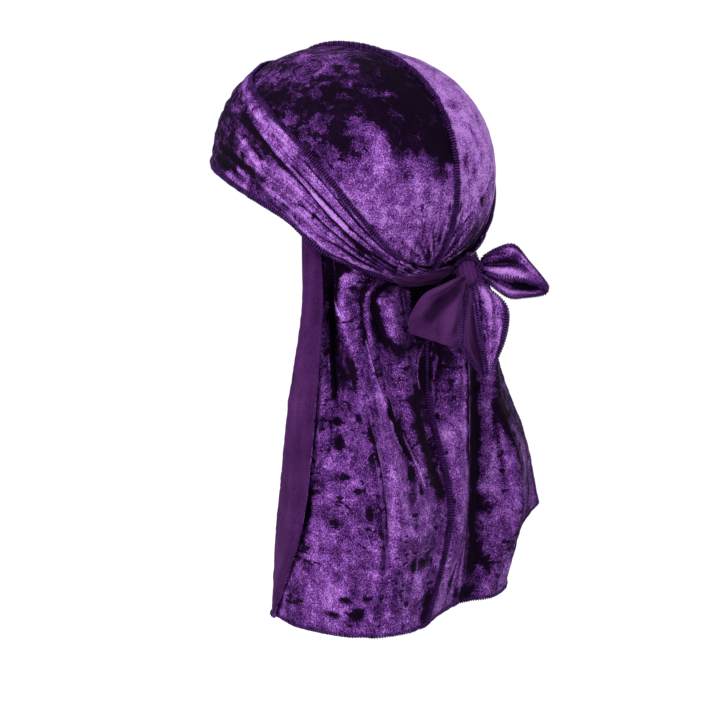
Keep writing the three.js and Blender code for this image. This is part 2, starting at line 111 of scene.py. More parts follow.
ground = bmesh.new()
bmesh.ops.create_grid(ground, x_segments=1, y_segments=1, size=FLOOR_SIZE / 2)
bmesh.ops.translate(ground, verts=ground.verts, vec=(0, 0, cad_box[0].z - FLOOR_DROP))
floor = put("floor", mesh_of("floor", ground))
floor_paint = bpy.data.materials.new("floor_paint")
floor_paint.use_nodes = True
floor_shader = floor_paint.node_tree.nodes["Principled BSDF"]
floor_shader.inputs["Base Color"].default_value = FLOOR_PAINT["colour"]
floor_shader.inputs["Roughness"].default_value = FLOOR_PAINT["roughness"]
floor.data.materials.append(floor_paint)


def hang_light(light_data, row):
    turn, tilt = radians(row["round"]), radians(row["up"])
    way = Vector((sin(turn) * cos(tilt), -cos(turn) * cos(tilt), sin(tilt)))
    light = put(light_data.name, light_data)
    light.location = (cad_box[0] + cad_box[1]) / 2 + way * row["away"]
    light.rotation_euler = way.to_track_quat("Z", "Y").to_euler()


daylight = bpy.data.lights.new("daylight", "SUN")
daylight.energy = DAYLIGHT["power"]
daylight.angle = radians(DAYLIGHT["spread"])
hang_light(daylight, DAYLIGHT)
for row in SOFT_LIGHTS:
    softbox = bpy.data.lights.new(row["name"], "AREA")
    softbox.size = row["size"]
    softbox.energy = row["power"]
    hang_light(softbox, row)

room = bpy.data.worlds.new("room")
room.use_nodes = True
room.node_tree.nodes["Background"].inputs["Color"].default_value = (1, 1, 1, 1)
room.node_tree.nodes["Background"].inputs["Strength"].default_value = SKY
bpy.context.scene.world = room
bpy.context.scene.view_settings.view_transform = "Standard"

# ---- Crown: two velvet panels ----
# Two panels of stretch crushed velvet lie on the head from forehead to nape. Each is one sheet, smooth
# over the top and drawn into a fan of gathers at the nape, where the ties cinch it.
MM = 0.001
HEAD = {"side": 75, "front": 79.5, "back": 103.5, "centre_y": -8, "up": 80, "down": 85}
SQUARENESS = {"plan": 2.5, "above": 2.25, "below": 2}
CENTRE = Vector((0, HEAD["centre_y"], -HEAD["up"]))
CROWN_CLOTH = 1.5
CROWN_ENDS = {"front": -39, "nape": 121}
CROWN_EDGE = table(
    "along around down",
    (0, 12, 38.7), (0.25, 45, 41.5), (0.5, 78, 53.5),
    (0.72, 104, 67.5), (0.88, 116, 87), (1, 121, 101),
)
NAPE_HEIGHT = -134
NAPE_GATHERS = table(
    "lean half_width height length",
    (-58, 11, 1.9, 62), (-34, 9, 2.2, 58), (-14, 7, 1.9, 44),
    (14, 7, 1.8, 36), (33, 8, 2.2, 52), (56, 10, 1.8, 56),
)
NAPE_CREASES = {"every": 11, "height": 1.6, "dark": 0.75, "length": 52, "from": 4, "grow": 8}
CROWN_CRUMPLE = {"size": 11, "height": 0.4}
CROWN_LEAST_LIFT = 0.7
CROWN_GRID = (150, 100)
# The cloth is drawn into streaks near the nape, and a little over the top of the head.
CROWN_DRAWN = {"nape": 70, "top": 46, "top_fade": 10, "top_share": 0.6}
VELVET_THICKNESS = 1.0
# How bright each panel is painted at each level: the left one with painted shade over the top and painted
# light lower down, the right one light nearly all over; and patches of painted light and shade and dark
# pile marks.
CROWN_PILE_AND_LIGHT = {
    1: table(
        "down pile",
        (0, 0.32), (25, 0.36), (38, 0.24), (48, 0.12), (60, 0.06), (70, 0.2), (78, 0.5), (88, 0.72),
        (130, 0.72),
    ),
    -1: table("down pile", (0, 0.62), (30, 0.94), (80, 0.98), (104, 0.84), (130, 0.52)),
}
PATCH_COLUMNS = "around down wide high adds"
CROWN_PATCHES = {
    1: table(
        PATCH_COLUMNS,
        (112, 61, 8, 6, 0.25), (128, 64, 6, 8, 0.24), (145, 62, 4, 6, 0.5), (152, 68, 4, 7, 0.5),
        (152, 76, 5, 6, 0.2), (166, 75, 6, 6, 0.16), (174, 72, 7, 9, -0.5), (158, 74, 5, 5, -0.2),
        (138, 84, 6, 3, -0.22), (174, 85, 4, 2.5, -0.16), (125, 25, 25, 12, 0.12), (165, 32, 14, 16, -0.35),
        (84, 42, 14, 10, 0.14), (159, 46, 3, 3, 0.4),
    ),
    -1: table(
        PATCH_COLUMNS,
        (166, 112, 9, 12, -0.3), (157, 109, 5, 9, -0.35), (60, 30, 40, 26, -0.25), (175, 79, 1.2, 3, -0.6),
        (171, 84, 1.2, 2.5, -0.6), (172, 52, 3, 3, -0.4), (160, 60, 1.6, 4, -0.34), (150, 70, 2, 3, -0.34),
        (156, 92, 2, 4, -0.38), (165, 98, 2, 3, -0.38), (168, 66, 1.2, 3, -0.4), (152, 82, 1.4, 4, -0.38),
    ),
}
# Creases of the right panel, where it is pulled to the knot, with painted shade in them: degrees round from
# the face.
CREASE_COLUMNS = "from to start middle end deep wide dark"
SIDE_CREASES = table(
    CREASE_COLUMNS,
    (86, 112, 156, 169, 179, 1.2, 1.5, 0.5),
    (96, 124, 153, 158, 169, 1.6, 3, 0.65),
)


def mix(a, b, share):
    return a + (b - a) * share


def ease(x):
    x = min(1.0, max(0.0, x))
    return x * x * (3 - 2 * x)


def ridge(distance, half_width):
    x = min(1.0, abs(distance) / half_width)
    return (1 + cos(pi * x)) / 2


def through(knots, values, x):
    """A smooth curve through values at rising knots."""
    last = len(knots) - 1
    i = 0
    while i < last - 1 and x > knots[i + 1]:
        i += 1

    def slope(j):
        before, after = max(0, j - 1), min(last, j + 1)
        return (values[after] - values[before]) / (knots[after] - knots[before])

    span = knots[i + 1] - knots[i]
    share = (x - knots[i]) / span
    rise = values[i + 1] - values[i]
    bend = (1 - share) * (slope(i) * span - rise) - share * (slope(i + 1) * span - rise)
    return mix(values[i], values[i + 1], share) + share * (1 - share) * bend


def read(table, key, name, x):
    return through([row[key] for row in table], [row[name] for row in table], x)


def head_size(d):
    """How many times as far out as the head form a place lies, seen from the head's middle."""
    length = HEAD["front"] if d.y < 0 else HEAD["back"]
    height = HEAD["up"] if d.z > 0 else HEAD["down"]
    m = SQUARENESS["above"] if d.z > 0 else SQUARENESS["below"]
    n = SQUARENESS["plan"]
    plan = abs(d.x / HEAD["side"]) ** n + abs(d.y / length) ** n
    return (plan ** (m / n) + abs(d.z / height) ** m) ** (1 / m)


def headway(around, down):
    """The way from the head's middle to a place on it, by degrees round from the face and down."""
    a, d = radians(around), radians(down)
    length = HEAD["front"] if cos(a) > 0 else HEAD["back"]
    n = SQUARENESS["plan"]
    reach = (abs(sin(a) / HEAD["side"]) ** n + abs(cos(a) / length) ** n) ** (-1 / n)
    height = HEAD["up"] if cos(d) > 0 else HEAD["down"]
    level = reach * sin(d)
    return Vector((level * sin(a), -level * cos(a), height * cos(d)))


def on_head(way, lift):
    """The point on the head form in that direction, lifted off it by lift."""
    d = way / head_size(way)
    step = 0.01
    normal = Vector()
    for axis in range(3):
        more, less = d.copy(), d.copy()
        more[axis] += step
        less[axis] -= step
        normal[axis] = head_size(more) - head_size(less)
    return CENTRE + d + normal.normalized() * lift


def spherical(point):
    """Degrees round from the face and down from the top, of a point near the head form."""
    way = point - CENTRE
    height = HEAD["up"] if way.z > 0 else HEAD["down"]
    around = degrees(atan2(abs(way.x), -way.y))
    return around, degrees(acos(max(-1.0, min(1.0, way.z / height))))


def uneven(x, y, z, roughness=0.8, layers=3):
    """Soft random height, about 0 on average, in layers that are each about twice as fine as the last."""
    return noise.fractal(Vector((x, y, z)), roughness, 2.1, layers)


def crumple(point, size, height, seed=0):
    """Soft uneven relief, as in cloth that has been crushed and pulled flat again."""
    return height * uneven(point.x / size, point.y / size, point.z / size + seed)


def patched(patches, around, down):
    """What some patches add at a place: painted light and shade, and dark marks in the pile."""
    added = 0.0
    for row in patches:
        near = ((around - row["around"]) / row["wide"]) ** 2 + ((down - row["down"]) / row["high"]) ** 2
        added += row["adds"] * exp(-near)
    return added


def cloth_sheet(place, columns, rows, tone):
    """A sheet of cloth: place(u, v) gives its points in mm. tone(u, v, point) says how bright it is painted
    there, its pile with painted light and shade, and how much the cloth is drawn into streaks."""
    sheet = bmesh.new()
    weave = sheet.loops.layers.uv.new("weave")
    bmesh.ops.create_grid(sheet, x_segments=columns, y_segments=rows, size=0.5, calc_uvs=True)
    pile = sheet.verts.layers.float.new("pile")
    drawn = sheet.verts.layers.float.new("drawn")
    for vert in sheet.verts:
        u, v = vert.co.x + 0.5, vert.co.y + 0.5
        point = place(u, v)
        vert[pile], vert[drawn] = tone(u, v, point)
        vert.co = point * MM
    across = (place(0.5, 1) - place(0.5, 0)).length * MM
    along = (place(1, 0.5) - place(0, 0.5)).length * MM
    for face in sheet.faces:
        face.smooth = True
        for loop in face.loops:
            loop[weave].uv = (loop[weave].uv.x * along, loop[weave].uv.y * across)
    sheet.normal_update()
    return sheet


def turn_outward(sheet, middle):
    """Turns every face over where the sheet's front looks towards its middle."""
    facing = 0
    for face in sheet.faces:
        facing += face.normal.dot(face.calc_center_median() - middle * MM) * face.calc_area()
    if facing < 0:
        bmesh.ops.reverse_faces(sheet, faces=sheet.faces)


def velvet_piece(name, sheet, nodes, thickness, materials):
    piece = put(name, mesh_of(name, sheet))
    for material in materials:
        piece.data.materials.append(material)
    if thickness:
        wall = piece.modifiers.new("thickness", "SOLIDIFY")
        wall.thickness = thickness * MM
        wall.offset = 0
        wall.material_offset = len(materials) - 1
    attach(piece, "root")
    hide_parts(*nodes)
    return piece


def node_maker(material):
    nodes, links = material.node_tree.nodes, material.node_tree.links

    def add(kind, inputs=None, **settings):
        node = nodes.new("ShaderNode" + kind)
        for key, value in settings.items():
            setattr(node, key, value)
        for key, value in (inputs or {}).items():
            if isinstance(value, bpy.types.NodeSocket):
                links.new(value, node.inputs[key])
            else:
                node.inputs[key].default_value = value
        return node

    return add


def colour_ramp(add, source, stops):
    ramp = add("ValToRGB", {"Fac": source})
    while len(ramp.color_ramp.elements) < len(stops):
        ramp.color_ramp.elements.new(0.5)
    for element, (place, colour) in zip(ramp.color_ramp.elements, stops):
        element.position = place
        element.color = (*colour, 1)
    return ramp.outputs["Color"]


def worked(add, operation, *values):
    """One step of arithmetic on nodes' outputs and numbers."""
    return add("Math", dict(enumerate(values)), operation=operation).outputs[0]


def mottle(add, vector, size, detail, roughness, twist=0.0):
    """Cloudy unevenness, about 0.5 on average; a larger size number makes smaller clouds."""
    clouds = {"Vector": vector, "Scale": size, "Detail": detail, "Roughness": roughness}
    return add("TexNoise", {**clouds, "Distortion": twist}).outputs["Fac"]


def weighed(add, source, weight, total):
    """Adds to total how far source lies from its average of 0.5, times weight."""
    return worked(add, "MULTIPLY_ADD", worked(add, "SUBTRACT", source, 0.5), weight, total)


def graded(add, source, low, high, first=0.0, last=1.0):
    limits = {"Value": source, "From Min": low, "From Max": high, "To Min": first, "To Max": last}
    return add("MapRange", limits).outputs["Result"]


def cloth_material(name):
    """A new material, the maker of its nodes, its shader and the place on the object."""
    material = bpy.data.materials.new(name)
    material.use_nodes = True
    add = node_maker(material)
    return material, add, material.node_tree.nodes["Principled BSDF"], add("TexCoord").outputs["Object"]


def surfaced(material, add, shader, colour, height, strength, depth):
    """Gives a shader its colour and its fine relief."""
    relief = add("Bump", {"Height": height, "Strength": strength, "Distance": depth})
    material.node_tree.links.new(colour, shader.inputs["Base Color"])
    material.node_tree.links.new(relief.outputs["Normal"], shader.inputs["Normal"])


STREAKS_IN_METRE = (45, 520, 0)
MARKS_IN_METRE = (185, 150, 0)


def crushed_velvet():
    """Crushed velvet: painted sheen where the pile leans to the light, painted shade nearly black where it
    doesn't. Ragged dark marks close up into black where that painted level is low; streaks run along drawn
    cloth."""
    material, add, shader, place = cloth_material("crushed_velvet")
    weave = add("UVMap", uv_map="weave").outputs["UV"]
    run = add("VectorMath", {0: weave, 1: STREAKS_IN_METRE}, operation="MULTIPLY").outputs[0]
    brushed = add("VectorMath", {0: weave, 1: MARKS_IN_METRE}, operation="MULTIPLY").outputs[0]
    pile = add("Attribute", attribute_name="pile").outputs["Fac"]
    drawn = add("Attribute", attribute_name="drawn").outputs["Fac"]
    clouds = mottle(add, place, 42, 2, 0.5)
    patches = mottle(add, place, 130, 4, 0.6, 0.3)
    marks = mottle(add, brushed, 1, 4, 0.62, 0.5)
    glint_paths = mottle(add, place, 210, 1.5, 0.5, 1.2)
    grain = mottle(add, place, 1250, 2, 0.6)
    streaks = mottle(add, run, 1, 3, 0.55, 0.25)

    level = weighed(add, clouds, 0.55, pile)
    raggedness = weighed(add, streaks, worked(add, "MULTIPLY", drawn, 0.8), marks)
    raggedness = weighed(add, worked(add, "MINIMUM", level, 0.62), -0.4, raggedness)
    mark = graded(add, raggedness, 0.594, 0.624)
    # Painted glints: thin light lines that wander over the brighter patches.
    wander = worked(add, "ABSOLUTE", worked(add, "SUBTRACT", glint_paths, 0.5))
    painted_glints = graded(add, wander, 0.0, 0.03, 0.3, 0.0)
    painted_glints = worked(add, "MULTIPLY", painted_glints, graded(add, patches, 0.48, 0.6))
    tone = worked(add, "ADD", level, painted_glints)
    tone = weighed(add, patches, 1.2, tone)
    tone = weighed(add, grain, 2.3, tone)
    pulled = worked(add, "MULTIPLY", drawn, 1.4)
    tone = weighed(add, streaks, pulled, tone)
    tone = worked(add, "MULTIPLY", tone, graded(add, mark, 0.0, 1.0, 1.0, 0.65))
    tone = worked(add, "MULTIPLY_ADD", mark, -0.3, tone)
    # The ramp turns painted shade and dark marks nearly black, and painted sheen light lilac.
    colour = colour_ramp(add, graded(add, tone, -0.4, 1.2), [
        (0.1, (0.0022, 0.0005, 0.0038)),
        (0.3, (0.0072, 0.0014, 0.0135)),
        (0.46, (0.028, 0.006, 0.053)),
        (0.6, (0.08, 0.019, 0.141)),
        (0.75, (0.17, 0.05, 0.275)),
        (0.88, (0.29, 0.112, 0.43)),
        (1, (0.42, 0.2, 0.58)),
    ])
    height = weighed(add, patches, 1.0, 0.5)
    height = weighed(add, grain, 0.6, height)
    height = weighed(add, streaks, pulled, height)
    height = worked(add, "MULTIPLY_ADD", mark, -0.12, height)
    surfaced(material, add, shader, colour, height, 0.6, 0.0014)
    roughness = graded(add, tone, 0.2, 0.9, 0.85, 0.5)
    material.node_tree.links.new(roughness, shader.inputs["Roughness"])
    shader.inputs["Specular IOR Level"].default_value = 0.08
    shader.inputs["Specular Tint"].default_value = (0.8, 0.4, 1, 1)
    return material


def knitted_reverse():
    """The matt knitted back of the velvet, with fine wales, lightened and darkened by painted light and
    shade.
    """
    material, add, shader, place = cloth_material("knitted_reverse")
    stitch = mottle(add, place, 1500, 2, 0.5)
    # The sheet's painted light and shade, which lightens and darkens the knit.
    pull = add("Attribute", attribute_name="pile").outputs["Fac"]
    shade = weighed(add, mottle(add, place, 60, 3, 0.5), 0.6, stitch)
    shade = weighed(add, pull, 0.7, shade)
    colour = colour_ramp(add, shade, [
        (0.1, (0.012, 0.0022, 0.019)),
        (0.45, (0.033, 0.0062, 0.048)),
        (0.9, (0.07, 0.018, 0.098)),
    ])
    surfaced(material, add, shader, colour, stitch, 0.35, 0.0004)
    shader.inputs["Roughness"].default_value = 0.9
    shader.inputs["Specular IOR Level"].default_value = 0.06
    shader.inputs["Specular Tint"].default_value = (0.8, 0.4, 1, 1)
    shader.inputs["Sheen Weight"].default_value = 0.05
    shader.inputs["Sheen Tint"].default_value = (0.6, 0.3, 0.8, 1)
    return material


def middle_way(angle):
    return Vector((0, sin(radians(angle)), cos(radians(angle))))


def crown_way(along, across):
    start = middle_way(mix(CROWN_ENDS["front"], CROWN_ENDS["nape"], along))
    around = read(CROWN_EDGE, "along", "around", along)
    down = read(CROWN_EDGE, "along", "down", along)
    return start.lerp(headway(around, down).normalized(), across)


def nape_gather(point):
    """Height of the gathers fanning up from the nape, with painted light on them and painted shade in their
    creases.
    """
    if point.y < 0:
        return 0.0, 0.0
    rise = point.z - NAPE_HEIGHT
    lean, away = degrees(atan2(point.x, rise)), hypot(point.x, rise)
    around, down = spherical(point)
    clear = ease((band_edge("top", around) - down - 1) / 6)
    height = 0.0
    for row in NAPE_GATHERS:
        fade = ease(1 - away / row["length"])
        height += row["height"] * ridge(lean - row["lean"], row["half_width"]) * fade
    sway = 0.05 * away + 1.5 * sin(away / 13 + lean / 9)
    line = (0.5 - 0.5 * cos(2 * pi * lean / NAPE_CREASES["every"] + sway)) ** 3
    reach = ease(1 - away / NAPE_CREASES["length"])
    reach *= ease((away - NAPE_CREASES["from"]) / NAPE_CREASES["grow"])
    shade = reach * (0.4 * height - 0.2 - NAPE_CREASES["dark"] * line)
    return clear * (height - NAPE_CREASES["height"] * line * reach), shade


CREASE_LIP = {"share": 0.3, "away": 1.9}


def creased(table, along, across, scale):
    """How deep the creases of a table cut at a place, and how much painted shade they lay in it. Each
    crease runs along, and scale turns a distance across it into mm. A low lip with a painted highlight
    follows its far side, or its near side where its width is negative. A crease of negative depth is a
    ridge with a painted highlight."""
    cut, dark = 0.0, 0.0
    for row in table:
        t = (along - row["from"]) / (row["to"] - row["from"])
        if not 0 < t < 1:
            continue
        pull = 2 * row["middle"] - (row["start"] + row["end"]) / 2
        line = row["start"] * (1 - t) ** 2 + 2 * pull * t * (1 - t) + row["end"] * t ** 2
        off = (across - line) * scale / row["wide"]
        if abs(off) > 4:
            continue
        lip = CREASE_LIP["share"] * exp(-(off - CREASE_LIP["away"]) ** 2)
        shape = ease(5 * min(t, 1 - t)) * (exp(-off * off) - lip)
        cut += row["deep"] * shape
        dark += row["dark"] * shape
    return cut, dark


def side_crease(side, point):
    if side > 0 or point.y < 0:
        return 0.0, 0.0
    around, down = spherical(point)
    return creased(SIDE_CREASES, down, around, radians(HEAD["back"]))


def crown_point(side, along, across):
    way = crown_way(along, across)
    flat = on_head(way, 0)
    flat.x *= side
    lift = CROWN_CLOTH / 2 + nape_gather(flat)[0] - side_crease(side, flat)[0]
    lift += crumple(flat, **CROWN_CRUMPLE)
    point = on_head(way, max(CROWN_LEAST_LIFT, lift))
    point.x = side * max(point.x, 0.0)
    return point


def crown_tone(side, point):
    around, down = spherical(point)
    # The panel's painted light and shade: by level, by patches, and from the gathers and creases.
    pile = read(CROWN_PILE_AND_LIGHT[side], "down", "pile", down) + patched(CROWN_PATCHES[side], around, down)
    away = hypot(point.x, point.z - NAPE_HEIGHT)
    at_nape = ease(1.2 - away / CROWN_DRAWN["nape"]) if point.y > 0 else 0
    on_top = CROWN_DRAWN["top_share"] * ease((CROWN_DRAWN["top"] - down) / CROWN_DRAWN["top_fade"])
    return pile + nape_gather(point)[1] - side_crease(side, point)[1], max(at_nape, on_top)


BAND_EDGES = table(
    "around top hem",
    (0, 36, 84), (20, 35.5, 84), (41, 37, 84.5), (62, 45, 88.5),
    (81, 51.5, 93), (100, 59.5, 98.5), (114, 67, 103.5), (124, 74, 109.5),
    (134, 84.5, 117), (146, 101, 124.5), (156, 114, 129), (166, 122, 133.5),
    (180, 127, 137),
)


def band_edge(name, around):
    return read(BAND_EDGES, "around", name, around)


velvet = crushed_velvet()
reverse = knitted_reverse()
for side, node in ((1, "crown_left"), (-1, "crown_right")):
    panel = cloth_sheet(
        lambda u, v: crown_point(side, u, v),
        *CROWN_GRID,
        lambda u, v, point: crown_tone(side, point),
    )
    turn_outward(panel, CENTRE)
    piece = velvet_piece(node + "_velvet", panel, [node], VELVET_THICKNESS, [velvet, reverse])

# ---- Centre seam of the crown ----
# The two crown panels are overlocked edge to edge, and the seam stands up outside like a low fin that
# is wound over with polyester thread.
CROWN_SEAM = {"thickness": 3.4, "height": 3.6, "sunk": 0.9, "front_stop": 4, "nape_stop": -0.6}
SEAM_WAVER = {"wide": 0.35, "narrow": 0.25}
THREAD = {"radius": 0.42, "pitch": 1.7, "points": 9, "slant": 0.6}
CORE_SIDES = 8


def overlock_thread():
    material, add, shader, place = cloth_material("overlock_thread")
    twist = mottle(add, place, 900, 2, 0.5)
    shade = weighed(add, mottle(add, place, 150, 2, 0.5), 1.0, twist)
    colour = colour_ramp(add, shade, [
        (0.3, (0.018, 0.0038, 0.043)),
        (0.72, (0.072, 0.017, 0.142)),
    ])
    surfaced(material, add, shader, colour, twist, 0.4, 0.0003)
    shader.inputs["Roughness"].default_value = 0.5
    shader.inputs["Specular IOR Level"].default_value = 0.12
    shader.inputs["Specular Tint"].default_value = (0.8, 0.5, 1, 1)
    return material


def even_steps(place, start, end, spacing):
    """Values from start to end for which place(value) starts with points that lie spacing mm apart."""
    samples = 200
    values = [mix(start, end, i / samples) for i in range(samples + 1)]
    lengths = [0.0]
    for before, after in zip(values, values[1:]):
        lengths.append(lengths[-1] + (place(after)[0] - place(before)[0]).length)
    count = max(2, round(lengths[-1] / spacing))
    steps = []
    j = 0
    for i in range(count + 1):
        goal = lengths[-1] * i / count
        while j < samples - 1 and lengths[j + 1] < goal:
            j += 1
        share = (goal - lengths[j]) / max(1e-9, lengths[j + 1] - lengths[j])
        steps.append(mix(values[j], values[j + 1], min(1, share)))
    return steps


def wound_edge(name, place, start, end, thickness, height, nodes=()):
    """A cloth edge wound over with thread: place(t) gives its middle, the way out and the way across."""
    def at_turn(t, turn, inset, slant):
        point, out, across = place(t)
        point = point + out * ((height / 2 - inset) * cos(turn))
        point += across * ((thickness / 2 - inset) * sin(turn))
        return point + out.cross(across) * (slant * sin(turn) * cos(turn))

    turns = enumerate(even_steps(place, start, end, THREAD["pitch"] / THREAD["points"]))
    line = [at_turn(t, 2 * pi * i / THREAD["points"], 0, THREAD["slant"]) for i, t in turns]
    curve = bpy.data.curves.new(name, "CURVE")
    curve.dimensions = "3D"
    curve.bevel_depth = THREAD["radius"] * MM
    curve.bevel_resolution = 0
    spline = curve.splines.new("POLY")
    spline.points.add(len(line) - 1)
    for knot, point in zip(spline.points, line):
        knot.co = (*(point * MM), 1)
    holder = put(name + "_curve", curve)
    bpy.context.view_layer.update()
    data = bpy.data.meshes.new_from_object(holder.evaluated_get(bpy.context.evaluated_depsgraph_get()))
    bpy.data.objects.remove(holder)
    winding = bmesh.new()
    winding.from_mesh(data)
    bpy.data.meshes.remove(data)
    core_steps = even_steps(place, start, end, THREAD["pitch"])
    core = bmesh.new()
    bmesh.ops.create_grid(core, x_segments=len(core_steps) - 1, y_segments=CORE_SIDES, size=0.5)
    for vert in core.verts:
        i = round((vert.co.x + 0.5) * (len(core_steps) - 1))
        vert.co = at_turn(core_steps[i], 2 * pi * (vert.co.y + 0.5), THREAD["radius"], 0) * MM
    bmesh.ops.remove_doubles(core, verts=core.verts, dist=1e-6)
    bmesh.ops.holes_fill(core, edges=[edge for edge in core.edges if edge.is_boundary])
    bmesh.ops.recalc_face_normals(core, faces=core.faces)
    # The core is the reverse with no painted light on it, so it stays dark: painted shade between the
    # windings.
    for face in core.faces:
        face.material_index = 1
    core_data = mesh_of(name + "_core", core)
    winding.from_mesh(core_data)
    bpy.data.meshes.remove(core_data)
    for face in winding.faces:
        face.smooth = True
    return velvet_piece(name, winding, nodes, 0, [thread, reverse])


thread = overlock_thread()


def crown_seam_place(t):
    way = middle_way(t)
    surface = on_head(way, 0)
    out = (on_head(way, 1) - surface).normalized()
    waver = SEAM_WAVER["wide"] * sin(t * 1.9) + SEAM_WAVER["narrow"] * sin(t * 0.83)
    lift = CROWN_CLOTH - CROWN_SEAM["sunk"] + nape_gather(surface)[0] + CROWN_SEAM["height"] / 2
    point = surface + out * lift
    point.x += waver
    return point, out, Vector((1, 0, 0))


wound_edge(
    "crown_seam_overlock", crown_seam_place,
    CROWN_ENDS["front"] + CROWN_SEAM["front_stop"], CROWN_ENDS["nape"] - CROWN_SEAM["nape_stop"],
    CROWN_SEAM["thickness"], CROWN_SEAM["height"], ["crown_seam"],
)

# ---- Forehead band ----
# The front of each panel is drawn together in long pleats into a band, from the middle of the forehead
# to the tie at the nape. Its top edge is seamed to the crown, and its lower edge is a narrow hem.
BAND_LIFT = 1.8
BAND_CLOTH = 1.5
BAND_LEAST_LIFT = 2.4
BAND_CRUMPLE = {"size": 7, "height": 0.3, "seed": 5}
BAND_GRID = (260, 100)
BAND_DRAWN = {"face": 0.25, "nape": 0.8, "from": 70, "over": 80}
BAND_SEWN = (0.001, 0.995)
BAND_EDGINGS = table(
    "name v inset thickness height",
    ("hem", 0, 0.8, 2.4, 4.4),
    ("top_seam", 1, 0.4, 2.2, 3.6),
)
BAND_END = {1: 163, -1: 156}
BAND_PLEATS = table(
    "face nape height half_width",
    (0.1, 0.12, 1, 0.07), (0.27, 0.27, 1.3, 0.08),
    (0.42, 0.42, 1.5, 0.07), (0.56, 0.57, 1.2, 0.07),
    (0.72, 0.73, 1.5, 0.08), (0.9, 0.89, 1.1, 0.07),
)
PLEAT_DEPTH = {"face": 0.15, "ear": 1, "ear_around": 105}
PULLED_PLEATS = {"height": 1, "long": 30, "across": 12, "shade": 0.4}
OVER_FOLD = {"around": 126, "half_width": 18, "height": 2.2, "up_to": 0.6}
# How bright the band is painted round its length, with painted light and shade, and its creases: shares of
# the way up from the hem at the start, middle and end, mm deep and wide, and how much painted shade they
# lay in. A negative crease is a ridge with a painted highlight.
BAND_PILE_AND_LIGHT = table(
    "around pile",
    (0, 0.34), (50, 0.26), (72, 0.2), (92, 0.4),
    (108, 0.72), (124, 0.74), (140, 0.58), (163, 0.5),
)
BAND_CREASES = table(
    CREASE_COLUMNS,
    (80, 158, 0.74, 0.59, 0.4, 2.2, 1.8, 0.7),
    (111, 158, 0.71, 0.66, 0.7, 1.6, 1.3, 0.6),
    (78, 106, 0.74, 0.68, 0.62, 1.2, 4.6, 0.3),
    (66, 104, 0.32, 0.27, 0.2, 1.2, 2.6, 0.32),
    (86, 108, 0.18, 0.15, 0.14, 1, 2.2, 0.35),
    (102, 124, 0.1, 0.12, 0.16, 0.8, 3, 0.3),
    (118, 158, 0.3, 0.36, 0.3, 1.5, 1.3, 0.55),
    (126, 160, 0.12, 0.22, 0.18, 1.4, 1.2, 0.5),
    (118, 150, 0.86, 0.86, 0.84, 1, 1, 0.4),
    (134, 162, 0.56, 0.55, 0.58, 1.2, 1, 0.5),
    (136, 162, 0.92, 0.88, 0.9, 1, 1, 0.45),
    (136, 162, 0.05, 0.08, 0.1, 1, 1, 0.45),
    (110, 134, 0.46, 0.44, 0.46, 0.9, 0.8, 0.35),
    (108, 128, 0.8, 0.76, 0.78, 0.8, 0.7, 0.35),
    (76, 104, 0.58, 0.46, 0.36, -0.8, 3.4, -0.42),
    (70, 92, 0.08, 0.08, 0.05, -0.6, 2.4, -0.5),
    (80, 92, 0.2, 0.18, 0.15, -0.6, 2.2, -0.42),
    (44, 104, 0.99, 0.88, 0.84, -0.4, 5, -0.45),
    (122, 146, 0.56, 0.5, 0.49, -0.8, 0.7, -0.5),
    (126, 152, 0.6, 0.62, 0.63, -0.8, 0.7, -0.5),
)


def band_relief(around, v):
    """How far the pleats stand out from the band, with painted light on them and painted shade in the
    creases.
    """
    tall = (band_edge("hem", around) - band_edge("top", around)) * radians(HEAD["down"])
    depth = mix(PLEAT_DEPTH["face"], PLEAT_DEPTH["ear"], ease(around / PLEAT_DEPTH["ear_around"]))
    pleat = max(
        row["height"] * ridge(v - mix(row["face"], row["nape"], around / BAND_END[1]), row["half_width"])
        for row in BAND_PLEATS
    )
    pulled = uneven(around / PULLED_PLEATS["long"], v * PULLED_PLEATS["across"], 4, 0.7)
    cut, dark = creased(BAND_CREASES, around, v, tall)
    height = depth * (0.6 * pleat + PULLED_PLEATS["height"] * pulled) - cut * max(depth, 0.5)
    return height, PULLED_PLEATS["shade"] * pulled * depth - dark


def band_point(side, u, v):
    around = u * BAND_END[side]
    down = mix(band_edge("hem", around), band_edge("top", around), v)
    bulge = ridge(around - OVER_FOLD["around"], OVER_FOLD["half_width"])
    bulge *= 1 - ease(v / OVER_FOLD["up_to"])
    rough = crumple(on_head(headway(around, down), 0), **BAND_CRUMPLE)
    lift = BAND_LIFT + OVER_FOLD["height"] * bulge + BAND_CLOTH / 2 + band_relief(around, v)[0] + rough
    point = on_head(headway(around, down), max(BAND_LEAST_LIFT, lift))
    point.x = side * max(point.x, 0.0)
    return point


def band_tone(side, u, v):
    around = u * BAND_END[side]
    # Painted light and shade round the band, and from its pleats and creases.
    pile = read(BAND_PILE_AND_LIGHT, "around", "pile", around) + band_relief(around, v)[1]
    nearer_nape = ease((around - BAND_DRAWN["from"]) / BAND_DRAWN["over"])
    return pile, mix(BAND_DRAWN["face"], BAND_DRAWN["nape"], nearer_nape)


def sheet_edge(place, u_from, v_from, u_to, v_to, inset):
    """The middle line of an overlocked edge of place(u, v), inset mm in from the edge itself."""
    def at(t):
        u, v = mix(u_from, u_to, t), mix(v_from, v_to, t)
        step = 0.004
        after = place(min(1, u + (u_to - u_from) * step), min(1, v + (v_to - v_from) * step))
        before = place(max(0, u - (u_to - u_from) * step), max(0, v - (v_to - v_from) * step))
        along = (after - before).normalized()
        point = place(u, v)
        inward = 0.06
        inner = place(mix(u, 0.5, inward), v) if u_from == u_to else place(u, mix(v, 0.5, inward))
        out = point - inner
        out = (out - along * out.dot(along)).normalized()
        return point - out * inset, out, along.cross(out).normalized()
    return at


